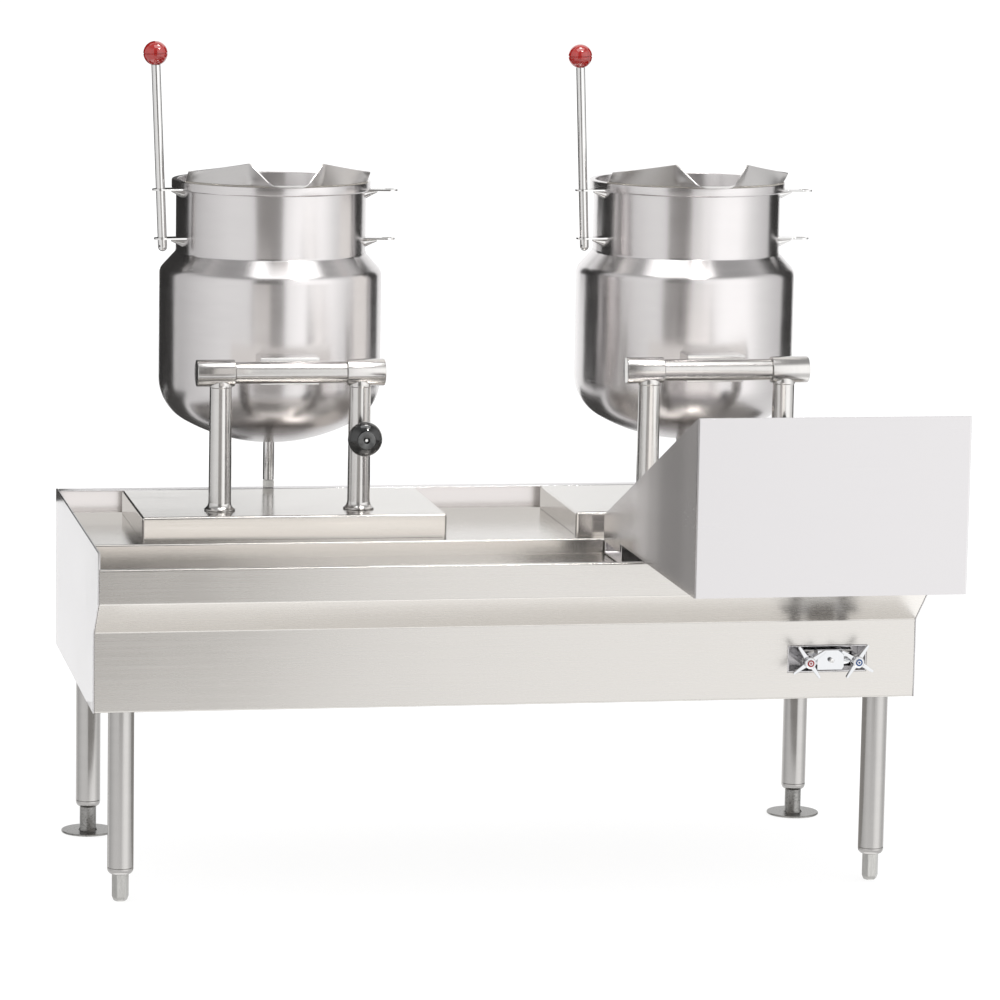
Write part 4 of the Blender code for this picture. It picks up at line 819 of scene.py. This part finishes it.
def easedCopy(node, body, material, width):
    work = bmesh.new()
    work.from_mesh(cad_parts[node].data)
    bmesh.ops.remove_doubles(work, verts=work.verts, dist=folded["merge"])
    flat = radians(folded["flatAngle"])
    bmesh.ops.dissolve_limit(work, angle_limit=flat, verts=work.verts, edges=work.edges)
    thing = cleanMesh(linkWork(node + "_sheet", work), allSmooth)
    softenEdges(thing, width, angle=folded["sharpAngle"])
    finishPiece(thing, material, body, (node,))


# body, material, slot, how far the edges are eased, and the nodes that this goes for
sheetWork = (
    ("root", sheetSteel, "brushed_stainless", 0.0009, ("front_fascia",)),
    ("root", deckSteel, "brushed_stainless", 0.0009, ("deck_pan", "trough", "platform_1", "platform_2")),
    ("root", satinSteel, "satin_stainless", 0.0009, ("side_panel_left", "side_panel_right", "rear_panel")),
    ("shield", satinSteel, "satin_stainless", 0.0009, ("splash_shield", "drain_drawer")),
    ("root", satinSteel, "satin_stainless", 0.0004, ("faucet_recess",)),
    ("kettle_1", buffedSteel, "satin_stainless", 0.0010, ("kettle_1_saddle",)),
    ("kettle_2", buffedSteel, "satin_stainless", 0.0010, ("kettle_2_saddle",)),
    ("root", chromePlate, "chrome", 0.0012, ("faucet_body",)),
)
for body, material, slot, width, nodes in sheetWork:
    for node in nodes:
        easedCopy(node, body, material, width)
print("sheet work made")


# trough outlet and faucet

outlet = {"radius": 0.020, "wall": 0.0025, "flange": 0.032, "flangeThick": 0.003, "edge": 0.0006,
          "sheet": 0.002}


def buildOutlet():
    low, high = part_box("trough_drain")
    spot = (low + high) / 2
    radius, flange, edge = outlet["radius"], outlet["flange"], outlet["edge"]
    bore = radius - outlet["wall"]
    under = high.z - outlet["sheet"] - smallGap
    below = under - outlet["flangeThick"]
    profile = [(bore + edge, high.z), (radius, high.z), (radius, under), (flange - edge, under),
               (flange, under - edge), (flange, below + edge), (flange - edge, below), (radius, below),
               (radius, low.z), (bore, low.z), (bore, high.z - edge)]
    turnedPiece("troughOutlet", profile, chromePlate, 56, placed((spot.x, spot.y, 0)), "root",
                ("trough_drain",), "chrome", closed=True)


buildOutlet()

tap = {"hub": 0.0085, "hubLength": 0.018, "reach": 0.029, "armStart": 0.003, "armRoot": 0.0037,
       "armTip": 0.0019, "armThick": 0.0052, "armEdge": 0.0009, "arms": 4, "edge": 0.001,
       "turns": {"hot": 35.0, "cold": 57.0}}


def makeArmTree():
    takes = {"Arm": "Geometry", "Arms": "Int", "Turn": "Float", "Finish": "Material"}
    tree, start = startTree("handleArms", takes)
    points = addNode(tree, "GeometryNodePoints", {"Count": start["Arms"]})
    index = addNode(tree, "GeometryNodeInputIndex")
    step = addNode(tree, "ShaderNodeMath", {0: tau, 1: start["Arms"]}, operation="DIVIDE")
    turns = {0: index, 1: step, 2: start["Turn"]}
    angle = addNode(tree, "ShaderNodeMath", turns, operation="MULTIPLY_ADD")
    twist = addNode(tree, "ShaderNodeCombineXYZ", {2: angle})
    arms = {"Points": points, "Instance": start["Arm"], "Rotation": twist}
    put = addNode(tree, "GeometryNodeInstanceOnPoints", arms)
    return endTree(tree, put, start["Finish"])


armTree = makeArmTree()


def buildTap(side, buttonPrint, slot):
    node, body = side + "_handle", side + "_tap"
    low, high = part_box(node)
    spot = (low + high) / 2
    place = placed((spot.x, high.y, spot.z), facing)
    hub, long, edge = tap["hub"], tap["hubLength"], tap["edge"]
    reach, root, tip = tap["reach"], tap["armRoot"], tap["armTip"]
    outline = [(tap["armStart"], -root), (reach - edge, -tip), (reach, -tip + edge), (reach, tip - edge),
               (reach - edge, tip), (tap["armStart"], root)]
    arm = cleanMesh(slab(node + "_cross", outline, long * 0.35, long * 0.35 + tap["armThick"]), allSmooth)
    softenEdges(arm, tap["armEdge"], steps=3)
    turn = radians(tap["turns"][side])
    runTree(arm, armTree, {"Arms": tap["arms"], "Turn": turn, "Finish": chromePlate})
    arm.data.transform(place)
    finishPiece(arm, chromePlate, body, ())
    profile = [(0, 0), (hub - edge, 0), (hub, edge), (hub * 0.92, long * 0.3), (hub, long * 0.62),
               (hub, long - 0.0012), (hub - 0.0012, long), (0, long)]
    turnedPiece(node + "_hub", profile, chromePlate, 48, place, body, (node,), "chrome")
    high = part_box(side + "_index_button")[1]
    wide, top = button["radius"], button["top"]
    profile = [(0, 0), (wide, 0), (wide, button["side"]), (wide * 0.9, button["edge"]), (wide * 0.4, top),
               (0, top)]
    place = placed((spot.x, high.y, spot.z), facing)
    turnedPiece(side + "_index", profile, buttonPrint, 48, place, body, (side + "_index_button",), slot)


buildTap("hot", hotPrint, "red_index")
buildTap("cold", coldPrint, "blue_index")


def buildScrew():
    # the round head between the two handles
    middle = (boxMiddle("hot_handle") + boxMiddle("cold_handle")) / 2
    place = placed((middle.x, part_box("faucet_body")[0].y, middle.z), facing)
    head = [(0, -0.001), (0.0036, -0.001), (0.0036, 0.0006), (0.0028, 0.0011), (0.0014, 0.0013),
            (0.0012, 0.0006), (0, 0.0006)]
    turnedPiece("faucetScrew", head, buffedSteel, 32, place, "root", (), "polished_stainless")


buildScrew()
print("faucet made")


# floor, light and camera

# a pale sweep lit from below, so shadows stay faint
paper, paperTree, paperShader = startMaterial("litStudioPaper")
setInputs(paperTree, paperShader, {
    "Base Color": hexColour("#7c7c7c"), "Roughness": 1.0, "Specular IOR Level": 0.0,
    "Emission Color": (1, 1, 1, 1), "Emission Strength": 0.86})
floorCorners = [(-60, -60, 0), (60, -60, 0), (60, 60, 0), (-60, 60, 0)]
studioFloor = linkPoints("studioFloor", floorCorners, [], [(0, 1, 2, 3)])
studioFloor.data.materials.append(paper)
studioFloor.location.z = -0.0005  # just under the feet
studioFloor.visible_glossy = False

# glowing cards that only the steel sees, which paint reflections into it: the gap between the softboxes,
# dark flags at the back and side, painted shade under the stand, behind the kettles and beside the splash
# shield, painted reflected light from bright cards on the wet top, by the tubes and kettles and inside the
# splash shield, and painted highlights from two small bright cards for the balls and knobs;
# each row says from, to, (lowest, highest), level, and whether only one side glows
studioCards = {
    "backCeiling": ((-1.80, 0.90), (1.80, 3.20), (3.0, 3.0), 1.15, False),
    # the next two small bright cards paint highlights on the red balls and the knob tops
    "ballHighlightCard": ((0.34, -0.97), (0.62, -0.97), (2.50, 2.80), 60.0, False),
    "topHighlightCard": ((-0.05, 0.05), (0.55, 0.45), (3.0, 3.0), 13.0, False),
    "underShadeLeft": ((-1.00, 0.45), (-0.30, 1.00), (0.50, 0.50), 0.07, True),
    "underShadeRight": ((-0.05, 0.45), (0.32, 1.00), (0.50, 0.50), 0.07, True),
    "gapCard": ((-1.66, -2.53), (0.02, -2.53), (0.66, 4.0), 0.24, False),
    "lowGapCard": ((-1.66, -2.53), (0.02, -2.53), (-0.19, 0.66), 0.52, False),
    # this card glows to paint reflected light on the left sleeve
    "sleeveBounce": ((-0.33, 0.02), (-0.415, 0.02), (0.735, 0.87), 0.9, True),
    "rearFlag": ((-1.95, 1.43), (-0.50, 1.33), (0.42, 3.2), 0.03, False),
    "middleFlag": ((-0.50, 1.33), (-0.38, 1.32), (0.80, 3.2), 0.03, False),
    "upperFlag": ((-0.38, 1.32), (-0.15, 1.302), (0.80, 1.3), 0.03, False),
    "rightFlag": ((2.86, 1.155), (2.69, 3.55), (0.0, 3.2), 0.04, False),
    "standShade": ((-0.62, -0.05), (0.62, -0.05), (0.01, 0.28), 0.45, False),
    "lowFlag": ((-1.95, 1.43), (-1.20, 1.38), (0.0, 0.42), 0.05, False),
    # the trough and tube cards glow to paint reflected light into the kettles and tubes
    "troughBounce": ((0.16, -0.135), (-0.60, -0.135), (0.455, 0.497), 1.6, True),
    "tubeBounceLeft": ((-0.14, 0.170), (-0.42, 0.170), (0.715, 0.765), 1.0, True),
    "tubeBounceRight": ((0.50, 0.170), (0.22, 0.170), (0.715, 0.765), 1.0, True),
    "shieldShadeA": ((0.165, -0.50), (0.165, -0.41), (0.50, 0.80), 0.36, True),
    "shieldShadeB": ((0.165, -0.41), (0.165, -0.26), (0.50, 0.80), 0.30, True),
    "shieldShadeC": ((0.165, -0.26), (0.165, -0.19), (0.50, 0.80), 0.44, True),
    "shieldShadeD": ((0.165, -0.19), (0.165, -0.12), (0.50, 0.80), 0.62, True),
    # these cards glow to paint reflected light from the wet top, between the kettles and inside the splash
    # shield
    "rearBounce": ((-0.60, 0.366), (0.60, 0.366), (0.495, 0.528), 0.78, True),
    "wallBounce": ((0.60, 0.345), (-0.60, 0.345), (0.495, 0.524), 1.4, True),
    "kettleBounce": ((0.03, 0.335), (0.03, 0.235), (0.62, 0.98), 1.1, True),
    "plateBounce": ((0.20, -0.50), (0.555, -0.50), (0.52, 0.74), 1.5, False),
    "wingBounce": ((0.555, -0.50), (0.555, -0.10), (0.51, 0.61), 1.3, False),
}
for name, ((x0, y0), (x1, y1), (low, high), level, oneSided) in studioCards.items():
    corners = [(x0, y0, low), (x1, y1, low), (x1, y1, high), (x0, y0, high)]
    if low == high:
        corners = [(x0, y0, low), (x1, y0, low), (x1, y1, low), (x0, y1, low)]
    # each card's glow is seen only in reflections, so it paints a reflection of light or shade
    cardGlow = bpy.data.materials.new(name + "Cloth")
    cardGlow.use_nodes = True
    tree = cardGlow.node_tree
    tree.nodes.clear()
    seen = addNode(tree, "ShaderNodeEmission", {"Color": (1, 0.97, 0.94, 1), "Strength": level})
    if oneSided:
        behind = addNode(tree, "ShaderNodeNewGeometry").outputs["Backfacing"]
        clear = addNode(tree, "ShaderNodeBsdfTransparent")
        seen = addNode(tree, "ShaderNodeMixShader", {0: behind, 1: seen, 2: clear})
    addNode(tree, "ShaderNodeOutputMaterial", {"Surface": seen})
    panel = linkPoints(name, corners, [], [(0, 1, 2, 3)])
    panel.data.materials.append(cardGlow)
    for ray in ("camera", "diffuse", "shadow", "transmission"):
        setattr(panel, "visible_" + ray, False)

overhead = {"at": (0.06, -0.28, 2.70), "size": (1.75, 1.1), "watts": 14.0}
lamp = bpy.data.lights.new("overheadSoftbox", "AREA")
lamp.shape = "RECTANGLE"
lamp.size, lamp.size_y = overhead["size"]
lamp.energy = overhead["watts"]
softbox = bpy.data.objects.new("overheadSoftbox", lamp)
softbox.location = overhead["at"]
softbox.visible_camera = False
scene.collection.objects.link(softbox)

# what the steel sees round the stand: (heading in degrees, level), then (from height, to height, level)
studio = {"white": 1.12, "gain": 2.0,
          "round": ((-180, 1.25), (-150, 1.15), (-115, 0.70), (-95, 0.86), (-60, 1.08), (-25, 1.08),
                    (3, 1.06), (10, 1.40), (15, 1.40), (30, 1.62), (55, 1.60), (75, 1.15), (100, 0.85),
                    (140, 1.02), (180, 1.12)),
          "bands": {"ceiling": (0.48, 0.82, 0.42), "ground": (-0.30, -0.55, 0.98),
                    "below": (-0.76, -0.88, 1.75)}}


def buildWorld():
    world = bpy.data.worlds.new("studioSurround")
    scene.world = world
    world.use_nodes = True
    tree = world.node_tree
    tree.nodes.clear()
    gain = studio["gain"]
    toward = addNode(tree, "ShaderNodeTexCoord").outputs["Generated"]
    split = addNode(tree, "ShaderNodeSeparateXYZ", {0: toward}).outputs
    back = addNode(tree, "ShaderNodeMath", {0: split["Y"], 1: -1.0}, operation="MULTIPLY")
    angle = addNode(tree, "ShaderNodeMath", {0: split["X"], 1: back}, operation="ARCTAN2")
    whole = {"From Min": -pi, "From Max": pi, "Value": angle}
    share = addNode(tree, "ShaderNodeMapRange", whole)
    ramp = addNode(tree, "ShaderNodeValToRGB", {"Fac": share})
    fillRamp(ramp, [((heading + 180) / 360, (level / gain, level / gain, level / gain, 1.0))
                    for heading, level in studio["round"]])
    mixed = ramp
    for first, last, level in studio["bands"].values():
        reach = {"From Min": first, "From Max": last, "Value": split["Z"]}
        factor = addNode(tree, "ShaderNodeMapRange", reach, interpolation_type="SMOOTHSTEP")
        tone = (level / gain, level / gain, level / gain, 1.0)
        blend = addNode(tree, "ShaderNodeMix", {"Factor": factor, "A": mixed, "B": tone}, data_type="RGBA")
        mixed = blend.outputs["Result"]
    seen = addNode(tree, "ShaderNodeBackground", {"Strength": gain, "Color": mixed})
    white = {"Color": (1, 1, 1, 1), "Strength": studio["white"]}
    plain = addNode(tree, "ShaderNodeBackground", white)
    gloss = addNode(tree, "ShaderNodeLightPath").outputs["Is Glossy Ray"]
    both = addNode(tree, "ShaderNodeMixShader", {0: gloss, 1: plain, 2: seen})
    addNode(tree, "ShaderNodeOutputWorld", {"Surface": both})


buildWorld()

# angles in degrees, lens and sensor in mm
shot = {"at": (-1.2749, -6.51535, 1.5674), "yaw": 11.18, "pitch": -8.603, "roll": 1.011, "lens": 162.85,
        "sensor": 36.0, "far": 200.0}


def placeCamera():
    yaw, pitch, roll = (radians(shot[key]) for key in ("yaw", "pitch", "roll"))
    ahead = Vector((sin(yaw) * cos(pitch), cos(yaw) * cos(pitch), sin(pitch)))
    right = Vector((cos(yaw), -sin(yaw), 0.0))
    up = right.cross(ahead)
    rolledRight = right * cos(roll) + up * sin(roll)
    rolledUp = up * cos(roll) - right * sin(roll)
    camera = bpy.data.cameras.new("shotCamera")
    camera.sensor_width = shot["sensor"]
    camera.lens = shot["lens"]
    camera.clip_end = shot["far"]
    holder = bpy.data.objects.new("shotCamera", camera)
    turn = Matrix((rolledRight, rolledUp, -ahead)).transposed()
    holder.matrix_world = placed(shot["at"]) @ turn.to_4x4()
    scene.collection.objects.link(holder)
    scene.camera = holder


placeCamera()
scene.view_settings.view_transform = "Standard"
scene.view_settings.look = "None"
print("stage, light and camera set")
